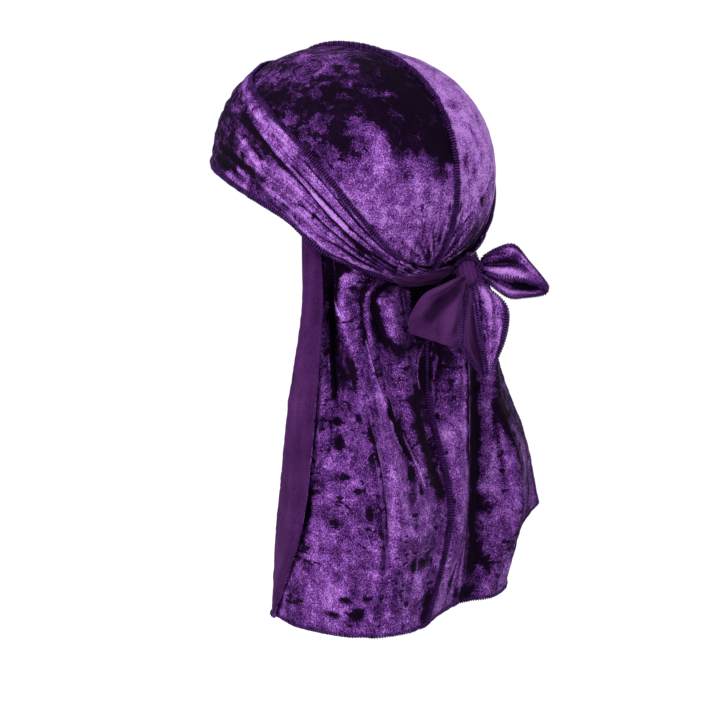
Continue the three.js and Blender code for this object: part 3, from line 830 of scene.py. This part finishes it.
for side, node in ((1, "band_left"), (-1, "band_right")):
    def place(u, v):
        return band_point(side, u, v)

    band = cloth_sheet(place, *BAND_GRID, lambda u, v, point: band_tone(side, u, v))
    turn_outward(band, CENTRE)
    piece = velvet_piece(node + "_velvet", band, [node], VELVET_THICKNESS, [velvet, reverse])
    for row in BAND_EDGINGS:
        edge = sheet_edge(place, 0, row["v"], 1, row["v"], row["inset"])
        wound_edge(f"{node}_{row['name']}", edge, *BAND_SEWN, row["thickness"], row["height"])

# ---- Cape ----
# Below the tie the two panels hang loose as one wide tail in deep folds. Its left edge is turned back
# outward, so that a flat strip of the matt reverse shows.
CAPE_CLOTH = 1.2
CAPE_LEVELS = {"down": [0, 0.05, 0.16, 0.42, 0.71, 1], "z": [-150, -215, -285, -352]}
PILE_AND_LIGHT_LEVELS = [0.12, 0.22, 0.33, 0.45, 0.62, 0.85]
# The fold lines from the turned-back hem to the right edge: degrees round from the back and mm out
# from the middle of the head at the levels below the band, and how bright the cloth is painted at six
# levels: painted shade down the valleys, painted light on the ridges.
CAPE_FOLDS = table(
    "name turn reach pile",
    ("strip_hem", [52.7, 54, 58, 73.3], [87, 100, 103.5, 92.5], [0.4, 0.45, 0.5, 0.5, 0.45, 0.42]),
    ("strip_middle", [57.5, 59.6, 64, 75.2], [89, 97, 100, 90], [0.55, 0.55, 0.55, 0.5, 0.5, 0.48]),
    ("left_edge", [61.8, 66.6, 72.4, 76.5], [86, 90, 89, 85.5], [0.4, 0.45, 0.5, 0.5, 0.5, 0.5]),
    ("strip_back", [57.4, 58, 61.4, 64.4], [82, 91, 95, 98], [0.2, 0.3, 0.45, 0.4, 0.4, 0.4]),
    ("left_column", [53.4, 51.3, 52.4, 55.4], [79, 97, 103, 105], [0, 0.48, 0.7, 0.62, 0.6, 0.54]),
    ("left_valley", [50.5, 45.6, 41.6, 44.8], [71, 91, 111, 113], [-0.4, -0.2, 0.34, 0.44, 0.6, 0.55]),
    ("ridge_one", [45, 37, 33, 35.6], [86, 105, 118, 116], [0.6, 0.66, 0.56, 0.5, 0.5, 0.5]),
    ("valley_one", [37.4, 31.7, 29.9, 32], [78, 98, 114, 117], [0.25, 0.4, 0.64, 0.68, 0.6, 0.54]),
    ("ridge_two", [35, 29.9, 26.7, 28.8], [82, 104, 118, 116], [0.58, 0.55, 0.56, 0.66, 0.6, 0.52]),
    ("valley_two", [30.6, 24.7, 20.4, 25.3], [75, 94, 110, 114], [0.05, 0.16, 0.42, 0.42, 0.62, 0.52]),
    ("bulge", [23.8, 18, 14.2, 22.8], [83, 94, 103, 113], [0.6, 0.66, 0.38, 0.28, 0.6, 0.5]),
    ("seam_valley", [9.5, 10.3, 4.9, 19], [69, 83, 93, 109], [0.3, 0.3, 0.22, 0, 0.32, 0.48]),
    ("centre_seam", [0, 4, -0.4, 15.4], [71, 79, 93, 105], [-0.3, 0, 0.05, 0.45, 0.66, 0.56]),
    ("right_ridge", [-4.6, -0.7, -4.6, 2.5], [80, 88, 97, 90], [0, 0.2, 0.14, 0.6, 0.7, 0.6]),
    ("narrow_ridge", [-12, -11, -13.5, -9.9], [84, 91, 90, 85], [0.3, 0.4, 0.64, 0.66, 0.5, 0.45]),
    ("right_valley", [-30, -29.9, -27, -19], [79, 82, 84, 89], [-0.1, -0.1, 0, -0.02, 0.04, 0.22]),
    ("bright_ridge", [-34, -32.5, -31.5, -26], [86.5, 92, 98, 98], [0.3, 0.5, 0.62, 0.66, 0.6, 0.54]),
    ("ridge_edge", [-38.5, -37, -38, -38.7], [90, 97, 113, 102.5], [0, 0.1, 0.1, 0.08, 0.36, 0.52]),
    ("edge_valley", [-46, -47, -49, -51], [80, 90, 108, 103], [-0.1, -0.1, -0.05, -0.05, 0.12, 0.4]),
    ("edge_face", [-53, -57, -61, -66.4], [84, 95, 117, 121], [0.2, 0.2, 0.2, 0.2, 0.32, 0.45]),
    ("right_edge", [-60, -66.3, -71.3, -73.9], [88, 102, 128, 143], [0.45, 0.45, 0.45, 0.45, 0.45, 0.45]),
)
FOLD_NAMES = [fold["name"] for fold in CAPE_FOLDS]
SEAM_FOLD = FOLD_NAMES.index("centre_seam")
EDGE_FOLD = FOLD_NAMES.index("left_edge")
CORNER_RISE = {"from": "ridge_edge", "height": 36}
FOLDED_LAYER = CAPE_CLOTH + 0.4
BELOW_BAND = 2
TUCKED = {"above": 2, "inside": 1.6}
PANEL_OVERLAP = 0.1
# Creases of the cape, with painted shade in them and painted highlights on the ridges of negative depth:
# shares of the way down, and mm round from the turned-back hem.
CAPE_CREASES = table(
    CREASE_COLUMNS,
    (0.1, 0.39, 62, 77.5, 78.5, 2, 2.2, 0.5),
    (0.02, 0.21, 58, 64, 81, -0.9, 1.3, -0.9),
    (0.21, 0.5, 92.5, 98.5, 113, -0.6, 0.8, -0.5),
    (0.2, 0.4, 56.5, 56, 57, 1.2, -1.5, 0.55),
    (0.37, 0.56, 104, 109.5, 118, 1.8, -1.3, 0.9),
    (0.09, 0.27, 95, 94.5, 92, 1.4, 2.8, 0.6),
    (0.07, 0.29, 112, 112.5, 119, 1.6, 2.8, 0.65),
    (0.08, 0.21, 131, 131, 132, 0.8, 1, 0.4),
    (0.07, 0.27, 142, 142, 138, 1.4, -2, 0.65),
    (0.27, 0.4, 151, 142, 143.5, -0.7, 0.9, -0.5),
    (0.29, 0.48, 157.5, 153, 151, -0.9, 1.4, -0.45),
    (0.38, 0.44, 152.5, 152.5, 152, 0.6, 0.8, 0.5),
    (0.27, 0.64, 179, 177.5, 175, 1.2, -1.6, 0.6),
    (0.4, 0.95, 207, 207.5, 205, 1.2, 3.4, 0.5),
    (0.42, 0.72, 219.5, 227.5, 237, 1.2, 2.6, 0.6),
    (0.38, 0.78, 80, 88, 91, 0.9, 1.4, 0.45),
    (0.47, 0.64, 114.5, 119.5, 126.5, -0.7, 0.8, -0.5),
    (0.37, 0.69, 131, 132.5, 143, 1.4, 5, 0.7),
    (0.36, 0.5, 86, 87, 88, 0.5, 0.8, 0.35),
    (0.43, 0.53, 53, 54, 52, 0.5, 0.9, 0.35),
    (0.5, 0.74, 84, 84.5, 84, -0.3, 1, -0.15),
    (0.46, 0.74, 219, 220, 221, 0.5, 1, 0.3),
    (0.7, 0.92, 226, 229, 228, 0.7, 1.2, 0.4),
    (0.74, 0.98, 170, 166, 160, 0.7, 1.6, 0.35),
)
# Patches added to the cape's painted brightness: dark marks in the crushed pile, painted shade, and painted
# light.
CAPE_PATCHES = table(
    PATCH_COLUMNS,
    (105.5, 0.425, 2.4, 0.018, -0.6), (124, 0.278, 9, 0.022, -0.32), (70, 0.33, 7, 0.028, -0.38),
    (59, 0.345, 5, 0.02, -0.5), (148.5, 0.365, 4.2, 0.026, -0.8), (155.5, 0.46, 2.6, 0.012, -0.5),
    (163, 0.415, 5, 0.014, -0.3), (77, 0.43, 3, 0.012, -0.6), (58, 0.445, 3.2, 0.014, -0.55),
    (57.5, 0.495, 3, 0.016, -0.6), (114.5, 0.58, 2.2, 0.018, -0.9), (120.5, 0.622, 2, 0.014, -0.8),
    (59, 0.58, 4, 0.011, -0.6), (73, 0.085, 7, 0.03, 0.65), (74, 0.062, 4, 0.01, -0.55),
    (66, 0.612, 2.6, 0.009, -0.6), (55, 0.7, 2, 0.016, -0.5), (75, 0.66, 2.5, 0.014, -0.5),
    (81, 0.62, 5, 0.11, -0.14), (125, 0.815, 8, 0.02, -0.3), (143, 0.93, 6, 0.05, -0.5),
    (41, 0.67, 3.6, 0.05, -0.6), (41, 0.48, 3, 0.03, -0.5), (71, 0.94, 3.6, 0.018, -0.8),
    (57, 0.945, 2.8, 0.01, -0.7), (62, 0.9, 3.4, 0.009, -0.55), (75, 0.895, 4, 0.008, -0.55),
    (211, 0.735, 5, 0.022, -0.4), (209, 0.885, 6, 0.022, -0.6), (192, 0.975, 12, 0.015, -0.5),
    (209, 0.68, 5, 0.016, 0.22),
)
CAPE_RIPPLE = {"height": 0.7, "every": 9, "long": 0.25, "shade": 0.25}
CAPE_CRUMPLE = {"size": 9, "height": 0.5, "seed": 9}
SMOOTH_TOP = {"from": 0.06, "over": 0.15}
CAPE_MIDDLE = Vector((0, 0, -240))
CAPE_ROWS = 200
CLOSER_AT_TOP = 1.2
CAPE_HEM = {"inset": 1, "thickness": 1.9, "height": 3}
SIDE_HEM_TOP = 0.12
CAPE_PANELS = table(
    "node first last columns area",
    ("cape_left", 0, SEAM_FOLD, 200, 0.036),
    ("cape_right", SEAM_FOLD, len(CAPE_FOLDS) - 1, 150, 0.033),
)


def fold_spot(fold):
    turn = radians(fold["turn"][1])
    return Vector((fold["reach"][1] * cos(turn), fold["reach"][1] * sin(turn)))


# How far round the cape's cloth each fold line lies, in mm.
FOLD_KNOTS = [0]
for before, after in zip(CAPE_FOLDS, CAPE_FOLDS[1:]):
    FOLD_KNOTS.append(FOLD_KNOTS[-1] + (fold_spot(after) - fold_spot(before)).length)
CORNER_KNOT = FOLD_KNOTS[FOLD_NAMES.index(CORNER_RISE["from"])]


def fold_top(i):
    seam = FOLD_KNOTS[SEAM_FOLD]
    edge = FOLD_KNOTS[EDGE_FOLD] if i < SEAM_FOLD else FOLD_KNOTS[-1]
    across = (FOLD_KNOTS[i] - seam) / (edge - seam)
    way = crown_way(1, min(across, 2 - across))
    layers = (1 if across > 1 else 0) + (0.5 if i == EDGE_FOLD else 0)
    lift = CAPE_CLOTH / 2 + FOLDED_LAYER * layers
    around = degrees(atan2(way.x, -way.y))
    way.z += TUCKED["above"] / HEAD["down"]
    start = on_head(way, lift - TUCKED["inside"])
    exit_point = on_head(headway(around, band_edge("hem", around) + BELOW_BAND), lift)
    if i > SEAM_FOLD:
        start.x *= -1
        exit_point.x *= -1
    return [start, exit_point]


def fold_lines():
    lines = []
    for i, fold in enumerate(CAPE_FOLDS):
        rise = CORNER_RISE["height"] * ease((FOLD_KNOTS[i] - CORNER_KNOT) / (FOLD_KNOTS[-1] - CORNER_KNOT))
        line = fold_top(i)
        for level, z in enumerate(CAPE_LEVELS["z"]):
            turn = radians(fold["turn"][level])
            reach = fold["reach"][level]
            height = z + rise * CAPE_LEVELS["down"][level + 2] ** 2
            line.append(Vector((reach * sin(turn), reach * cos(turn), height)))
        lines.append(line)
    return lines


FOLD_LINES = fold_lines()


@functools.lru_cache(maxsize=None)
def cape_row(down):
    """Where every fold line is at one level, as four lists: x, y, z and how bright it is painted there."""
    rows = [
        [through(CAPE_LEVELS["down"], [point[axis] for point in line], down) for line in FOLD_LINES]
        for axis in range(3)
    ]
    level = min(PILE_AND_LIGHT_LEVELS[-1], max(PILE_AND_LIGHT_LEVELS[0], down))
    rows.append([through(PILE_AND_LIGHT_LEVELS, fold["pile"], level) for fold in CAPE_FOLDS])
    return rows


def cape_base(around, down):
    return Vector([through(FOLD_KNOTS, row, around) for row in cape_row(round(down, 5))[:3]])


def cape_ripple(around, down):
    return uneven(around / CAPE_RIPPLE["every"], down / CAPE_RIPPLE["long"], 1)


def cape_point(around, down):
    point = cape_base(around, down)
    side = cape_base(around + 0.5, down) - cape_base(around - 0.5, down)
    length = cape_base(around, min(1, down + 0.004)) - cape_base(around, max(0, down - 0.004))
    normal = side.cross(length).normalized()
    crushed = crumple(point, **CAPE_CRUMPLE) + CAPE_RIPPLE["height"] * cape_ripple(around, down)
    cut = creased(CAPE_CREASES, down, around, 1)[0]
    return point + normal * ((crushed - cut) * ease((down - SMOOTH_TOP["from"]) / SMOOTH_TOP["over"]))


def cape_tone(around, down):
    # Painted light and shade of the folds, their ripples and creases, with dark pile marks from the
    # patches.
    pile = through(FOLD_KNOTS, cape_row(round(down, 5))[3], around)
    pile += CAPE_RIPPLE["shade"] * cape_ripple(around, down) + patched(CAPE_PATCHES, around, down)
    return pile - creased(CAPE_CREASES, down, around, 1)[1], 0.5 * ease(1 - down / 0.5)


for row in CAPE_PANELS:
    start = FOLD_KNOTS[row["first"]]
    end = FOLD_KNOTS[row["last"]] + (PANEL_OVERLAP if row["last"] == SEAM_FOLD else 0)

    def place(u, v):
        return cape_point(mix(start, end, v), u ** CLOSER_AT_TOP)

    def tone(u, v, point):
        return cape_tone(mix(start, end, v), u ** CLOSER_AT_TOP)

    tail = cloth_sheet(place, CAPE_ROWS, row["columns"], tone)
    turn_outward(tail, CAPE_MIDDLE)
    piece = velvet_piece(
        row["node"] + "_velvet", tail, [row["node"]], VELVET_THICKNESS, [velvet, reverse]
    )
    hems = [("_hem", (1, 0, 1, 1))]
    if row["last"] != SEAM_FOLD:
        hems.append(("_side_hem", (SIDE_HEM_TOP, 1, 1, 1)))
    for name, run in hems:
        edge = sheet_edge(place, *run, CAPE_HEM["inset"])
        wound_edge(row["node"] + name, edge, 0.0, 1.0, CAPE_HEM["thickness"], CAPE_HEM["height"])

CAPE_SEAM = {"thickness": 4.2, "height": 2.8, "rise": -0.4, "from": 0.15, "to": 0.995}
SLENDER_TOP = {"share": 0.35, "from": 0.36, "over": 0.1}


def cape_seam_place(down):
    seam = FOLD_KNOTS[SEAM_FOLD]
    point = cape_base(seam, down)
    across = (cape_base(seam + 1, down) - cape_base(seam - 1, down)).normalized()
    length = cape_base(seam, min(1, down + 0.01)) - cape_base(seam, down - 0.01)
    out = across.cross(length).normalized()
    if out.y < 0:
        out.negate()
    size = mix(SLENDER_TOP["share"], 1, ease((down - SLENDER_TOP["from"]) / SLENDER_TOP["over"]))
    lift = CAPE_CLOTH / 2 + CAPE_SEAM["rise"] + size * CAPE_SEAM["height"] / 2
    return point + out * lift, out * size, across * size


wound_edge(
    "cape_seam_overlock", cape_seam_place, CAPE_SEAM["from"], CAPE_SEAM["to"],
    CAPE_SEAM["thickness"], CAPE_SEAM["height"], ["cape_seam"],
)

# ---- Ties and knot ----
# Each half of the band narrows to a long tie. The ties cross over the nape as two twisted strands of
# the matt reverse, with the last of the velvet running in above them, and are knotted right of the middle.
TIE_CLOTH = 1.2
TIE_LEFT = table(
    "around top hem lift",
    (161, 118.6, 131.2, 3),
    (170, 123.6, 135.4, 2.6),
    (180, 126, 137, 2.4),
    (190, 124.5, 134, 4.2),
)
TIE_RIGHT = table(
    "around top hem lift",
    (154.5, 112.6, 128.4, 3),
    (158, 117, 130.6, 2.6),
    (162, 119.5, 131.5, 2.8),
    (165, 120, 131, 3),
)
# Shares of the way up at which the lower strand ends and the upper strand gives way to velvet.
STRANDS = {"lower": [0.22, 0.16], "upper": [0.3, 1.05], "swell": 1.6, "wrinkle": 0.35, "sunk": 0.8}
# How light the tie is painted: its velvet, its reverse with painted light on the strands, and painted light
# and shade as of wrinkles.
TIE_PILE_AND_LIGHT = {"velvet": 0.6, "reverse": 0.95, "wrinkle": 0.9}
TIE_GRID = (70, 60)
TIES = table(
    "node side shape flat",
    ("tie_left", 1, TIE_LEFT, (0.02, 0.05)),
    ("tie_right", -1, TIE_RIGHT, (0.017, 0.026)),
)


def strand_of(u, v):
    """Where a place on the tie lies across its strand, from 0 to 1, and whether it is still velvet."""
    lower, upper = mix(*STRANDS["lower"], u), mix(*STRANDS["upper"], u)
    if v < lower:
        return v / lower, False
    if v < upper:
        return (v - lower) / (upper - lower), False
    return (v - upper) / (1.3 - upper), True


def tie_point(shape, side, u, v):
    around = mix(shape[0]["around"], shape[-1]["around"], u)
    down = mix(read(shape, "around", "hem", around), read(shape, "around", "top", around), v)
    arch = STRANDS["swell"] * sin(pi * strand_of(u, v)[0]) ** 0.7
    wrinkle = STRANDS["wrinkle"] * uneven(u * 2.5, v * 9, side, layers=2)
    lift = read(shape, "around", "lift", around) + TIE_CLOTH / 2 - STRANDS["sunk"] + arch + wrinkle
    point = on_head(headway(around, down), lift)
    point.x *= side
    return point


def tie_tone(u, v):
    # Painted light and shade as of wrinkles.
    painted_wrinkles = uneven(u * 3, v * 12, 2, 0.7)
    cloth = "velvet" if strand_of(u, v)[1] else "reverse"
    return TIE_PILE_AND_LIGHT[cloth] + TIE_PILE_AND_LIGHT["wrinkle"] * painted_wrinkles, 1.0


for row in TIES:
    tie = cloth_sheet(
        lambda u, v: tie_point(row["shape"], row["side"], u, v),
        *TIE_GRID,
        lambda u, v, point: tie_tone(u, v),
    )
    weave = tie.loops.layers.uv.active
    width = max(loop[weave].uv.x for face in tie.faces for loop in face.loops)
    height = max(loop[weave].uv.y for face in tie.faces for loop in face.loops)
    for face in tie.faces:
        u = sum(loop[weave].uv.x for loop in face.loops) / len(face.loops) / width
        v = sum(loop[weave].uv.y for loop in face.loops) / len(face.loops) / height
        face.material_index = 0 if strand_of(u, v)[1] else 1
    turn_outward(tie, CENTRE)
    node, flat = row["node"], row["flat"]
    piece = velvet_piece(node + "_cloth", tie, [node], VELVET_THICKNESS, [velvet, reverse])

# The knot is a ball of wound cloth, with the last turn of the tie as a band across its face.
KNOT_MIDDLE = Vector((-20, 87.5, -136))
KNOT_HALF = Vector((8.2, 7, 8.6))
KNOT_FACES = radians(141)
KNOT_BAND = {"half_width": 0.72, "fade": 0.15, "raised": 0.1, "lean": 0.25}
# How light the knot is painted: a painted highlight on the raised band and painted shade in the grooves.
KNOT_LIGHT_AND_SHADE = {"sides": 0.4, "band": 0.5, "groove": 7}
KNOT_GROOVES = table(
    "at wide deep",
    (-0.4, 0.1, 0.06), (0.02, 0.14, 0.04), (0.4, 0.09, 0.05),
)
knot_facing = Vector((sin(KNOT_FACES), -cos(KNOT_FACES), 0))
knot_right = Vector((cos(KNOT_FACES), sin(KNOT_FACES), 0))

knot = bmesh.new()
pull = knot.verts.layers.float.new("pile")
bmesh.ops.create_uvsphere(knot, u_segments=96, v_segments=64, radius=1)
for vert in knot.verts:
    spot = vert.co.copy()
    across = spot.dot(knot_right) + KNOT_BAND["lean"] * spot.z
    groove = sum(row["deep"] * exp(-((across - row["at"]) / row["wide"]) ** 2) for row in KNOT_GROOVES)
    band = ease((KNOT_BAND["half_width"] - abs(across)) / KNOT_BAND["fade"])
    swell = 1 + KNOT_BAND["raised"] * band - groove
    # Painted highlight on the band, painted shade in the grooves.
    vert[pull] = KNOT_LIGHT_AND_SHADE["sides"] + KNOT_LIGHT_AND_SHADE["band"] * band - KNOT_LIGHT_AND_SHADE["groove"] * groove
    vert.co = (KNOT_MIDDLE + spot * KNOT_HALF * swell) * MM
for face in knot.faces:
    face.smooth = True
velvet_piece("knot_cloth", knot, ["knot"], 0, [reverse])

# The overlocked edges of the ties, wound round the knot: where each starts and ends as it goes round
# the knot's face, in degrees clockwise from the top, and how far in it lies.
KNOT_EDGE_THICKNESS = 2.2
KNOT_EDGES = table(
    "name from to face out width",
    ("knot_edge_round", 35, 215, 0.6, 0.6, 4.6),
    ("knot_edge_over", -60, 75, 0.15, 2, 4.2),
)


def knot_edge_point(row, t):
    turn = radians(mix(row["from"], row["to"], t))
    way = knot_right * sin(turn) + Vector((0, 0, cos(turn))) + knot_facing * row["face"]
    way.normalize()
    size = hypot(*(part / half for part, half in zip(way, KNOT_HALF)))
    return KNOT_MIDDLE + way * (1 / size + row["out"]), way


for row in KNOT_EDGES:
    def knot_edge_place(t):
        point, way = knot_edge_point(row, t)
        along = (knot_edge_point(row, t + 0.01)[0] - knot_edge_point(row, t - 0.01)[0]).normalized()
        out = along.cross(way).normalized()
        return point, out, along.cross(out).normalized()

    wound_edge(row["name"], knot_edge_place, 0.0, 1.0, KNOT_EDGE_THICKNESS, row["width"])

# ---- Bow ----
# The rest of each tie makes one loop and one free end of the bow. The left loop shows the reverse, the
# right loop and one end show the velvet. Every long edge is overlocked but the upper edge of the left loop.
RIBBON_COLUMNS = "x y z width up round"
LOOP_LEFT = table(
    RIBBON_COLUMNS,
    (-13, 90.5, -138.5, 7, 45, 0),
    (3, 97.6, -145.2, 22, 40, -4),
    (13.5, 100.2, -152, 36, 34, -8),
    (20.5, 101.5, -162, 41, 24, -9),
    (20.5, 99.5, -170, 39, 21, -9),
    (17, 95.5, -171, 35, 22, -9),
    (10, 92.7, -159, 31, 38, -8),
    (-0.5, 91, -148.5, 17, 42, -4),
    (-12.8, 88.7, -140.5, 6, 43, 0),
)
LOOP_RIGHT = table(
    RIBBON_COLUMNS,
    (-28.5, 90, -131, 8.5, -70, 60),
    (-36.5, 96.3, -130, 18.5, -74, 50),
    (-46, 102, -130, 22, -74, 45),
    (-55.5, 106, -136.4, 12.5, -68, 45),
    (-64.5, 108.4, -143.5, 6, -60, 48),
    (-70, 108, -148.3, 3.5, -60, 50),
    (-68, 105.8, -149.3, 7, -62, 50),
    (-58, 100.2, -147, 14, -66, 50),
    (-45.5, 96, -144.4, 17, -66, 55),
    (-28.5, 90.4, -136, 8, -60, 60),
)
END_RIGHT = table(
    RIBBON_COLUMNS,
    (-24, 92.3, -142, 8, 10, -8),
    (-27.5, 96, -149.5, 18.5, 7, -16),
    (-28.8, 98.7, -157.5, 23, 2, -20),
    (-29.5, 99.4, -168, 22, 0, -20),
    (-30, 98.8, -179.5, 18, 0, -16),
    (-30, 97.6, -190.5, 11, 0, -12),
    (-29.3, 96.2, -202.5, 3, -10, -12),
)
END_LEFT = table(
    RIBBON_COLUMNS,
    (-18.4, 89.8, -143, 6, 15, 10),
    (-16.5, 92, -150, 10.5, 9, 12),
    (-16, 92.8, -159.5, 15.5, 9, 14),
    (-16.5, 92.6, -169.5, 19.5, 7, 12),
    (-18.6, 91.8, -180, 21, 4, 8),
    (-23.3, 92.4, -190, 14.5, -1, 4),
    (-28.5, 94.6, -201, 4, -12, 4),
)
BOW = table(
    "node shape loop front back waves deep edges flat area",
    ("bow_loop_left", LOOP_LEFT, True, "reverse", "velvet", 1.5, 2.2, [0], (0.04, 0.085), 0.0027),
    ("bow_loop_right", LOOP_RIGHT, True, "velvet", "velvet", 2, 0.9, [0, 1], (0.02, 0.1), 0.0014),
    ("tie_end_right", END_RIGHT, False, "velvet", "reverse", 1, 1.4, [0, 1], (0.022, 0.065), 0.001),
    ("tie_end_left", END_LEFT, False, "reverse", "velvet", 1, 0.8, [0, 1], (0.02, 0.06), 0.0009),
)
CLOTHS = {"velvet": velvet, "reverse": reverse}
RIBBON_CLOTH = 0.9
RIBBON_GRID = (130, 44)
# How light the bow is painted: a level, painted light and shade across its waves, and painted shade near
# the knot.
RIBBON_PILE_AND_LIGHT = {"level": 0.66, "wave": 0.12, "at_knot": -0.3, "knot_reach": 0.15}
RIBBON_EDGING = {"inset": 1.2, "thickness": 1.8, "height": 3.6}
RIBBON_SEWN = (0.02, 0.98)
KNOT_CREASES = {"height": 0.9, "across": 5, "shade": 0.8}
# Folds pressed into the left loop, 40 mm wide, with painted shade in them: shares of the way along it and
# across it, and mm.
LOOP_WIDTH = 40
LOOP_FOLDS = table(
    CREASE_COLUMNS,
    (0.03, 0.4, 0.48, 0.56, 0.72, 1.4, 4, 1),
    (0.05, 0.42, 0.24, 0.2, 0.16, 0.6, 3, 0.5),
)


def ribbon_frame(shape, u):
    """The middle of a ribbon u of the way along it, the way across it, the way out of it, and its width."""
    knots = list(range(len(shape)))
    place = u * knots[-1]

    def at(name, where):
        return through(knots, [row[name] for row in shape], min(max(where, 0), knots[-1]))

    def middle(where):
        return Vector((at("x", where), at("y", where), at("z", where)))

    up, turn = radians(at("up", place)), radians(at("round", place))
    across = Vector((cos(up) * cos(turn), cos(up) * sin(turn), sin(up)))
    length = middle(place + 0.05) - middle(place - 0.05)
    return middle(place), across, across.cross(length).normalized(), at("width", place)


def ribbon_crease(row, u, v):
    """Creases that run out from the knot and fade, about 0 on average."""
    away = min(u, 1 - u) * 2 if row["loop"] else u
    creases = uneven(away * 1.5, v * KNOT_CREASES["across"], len(row["node"]), layers=2)
    return creases * ease(1.3 - away)


def ribbon_fold(row, u, v):
    if row["node"] != "bow_loop_left":
        return 0.0, 0.0
    return creased(LOOP_FOLDS, u, v, LOOP_WIDTH)


def ribbon_point(row, u, v):
    middle, across, out, width = ribbon_frame(row["shape"], u)
    fade = sin(pi * min(1, u * 2 + 0.2))
    wave = -row["deep"] * fade * cos(2 * pi * row["waves"] * v)
    lift = wave + KNOT_CREASES["height"] * ribbon_crease(row, u, v) + ribbon_fold(row, u, v)[0]
    return middle + across * ((v - 0.5) * width) + out * lift


def ribbon_tone(row, u, v):
    away = min(u, 1 - u) * 2 if row["loop"] else u
    # Painted light and shade across the waves, on the creases from the knot, in the folds and near the
    # knot.
    pile = RIBBON_PILE_AND_LIGHT["level"] + RIBBON_PILE_AND_LIGHT["wave"] * cos(2 * pi * (row["waves"] * v - 0.5))
    pile += KNOT_CREASES["shade"] * ribbon_crease(row, u, v) - ribbon_fold(row, u, v)[1]
    pile += RIBBON_PILE_AND_LIGHT["at_knot"] * ease(1 - away / RIBBON_PILE_AND_LIGHT["knot_reach"])
    return pile, 0.6 * ease(1.2 - away)


for row in BOW:
    def place(u, v):
        return ribbon_point(row, u, v)

    ribbon = cloth_sheet(place, *RIBBON_GRID, lambda u, v, point: ribbon_tone(row, u, v))
    bmesh.ops.reverse_faces(ribbon, faces=ribbon.faces)
    faces = [CLOTHS[row["front"]], CLOTHS[row["back"]]]
    piece = velvet_piece(row["node"] + "_cloth", ribbon, [row["node"]], RIBBON_CLOTH, faces)
    for v in row["edges"]:
        side_name = f"{row['node']}_{'upper' if v else 'lower'}_edge"
        edge = sheet_edge(place, 0, v, 1, v, RIBBON_EDGING["inset"])
        wound_edge(side_name, edge, *RIBBON_SEWN, RIBBON_EDGING["thickness"], RIBBON_EDGING["height"])
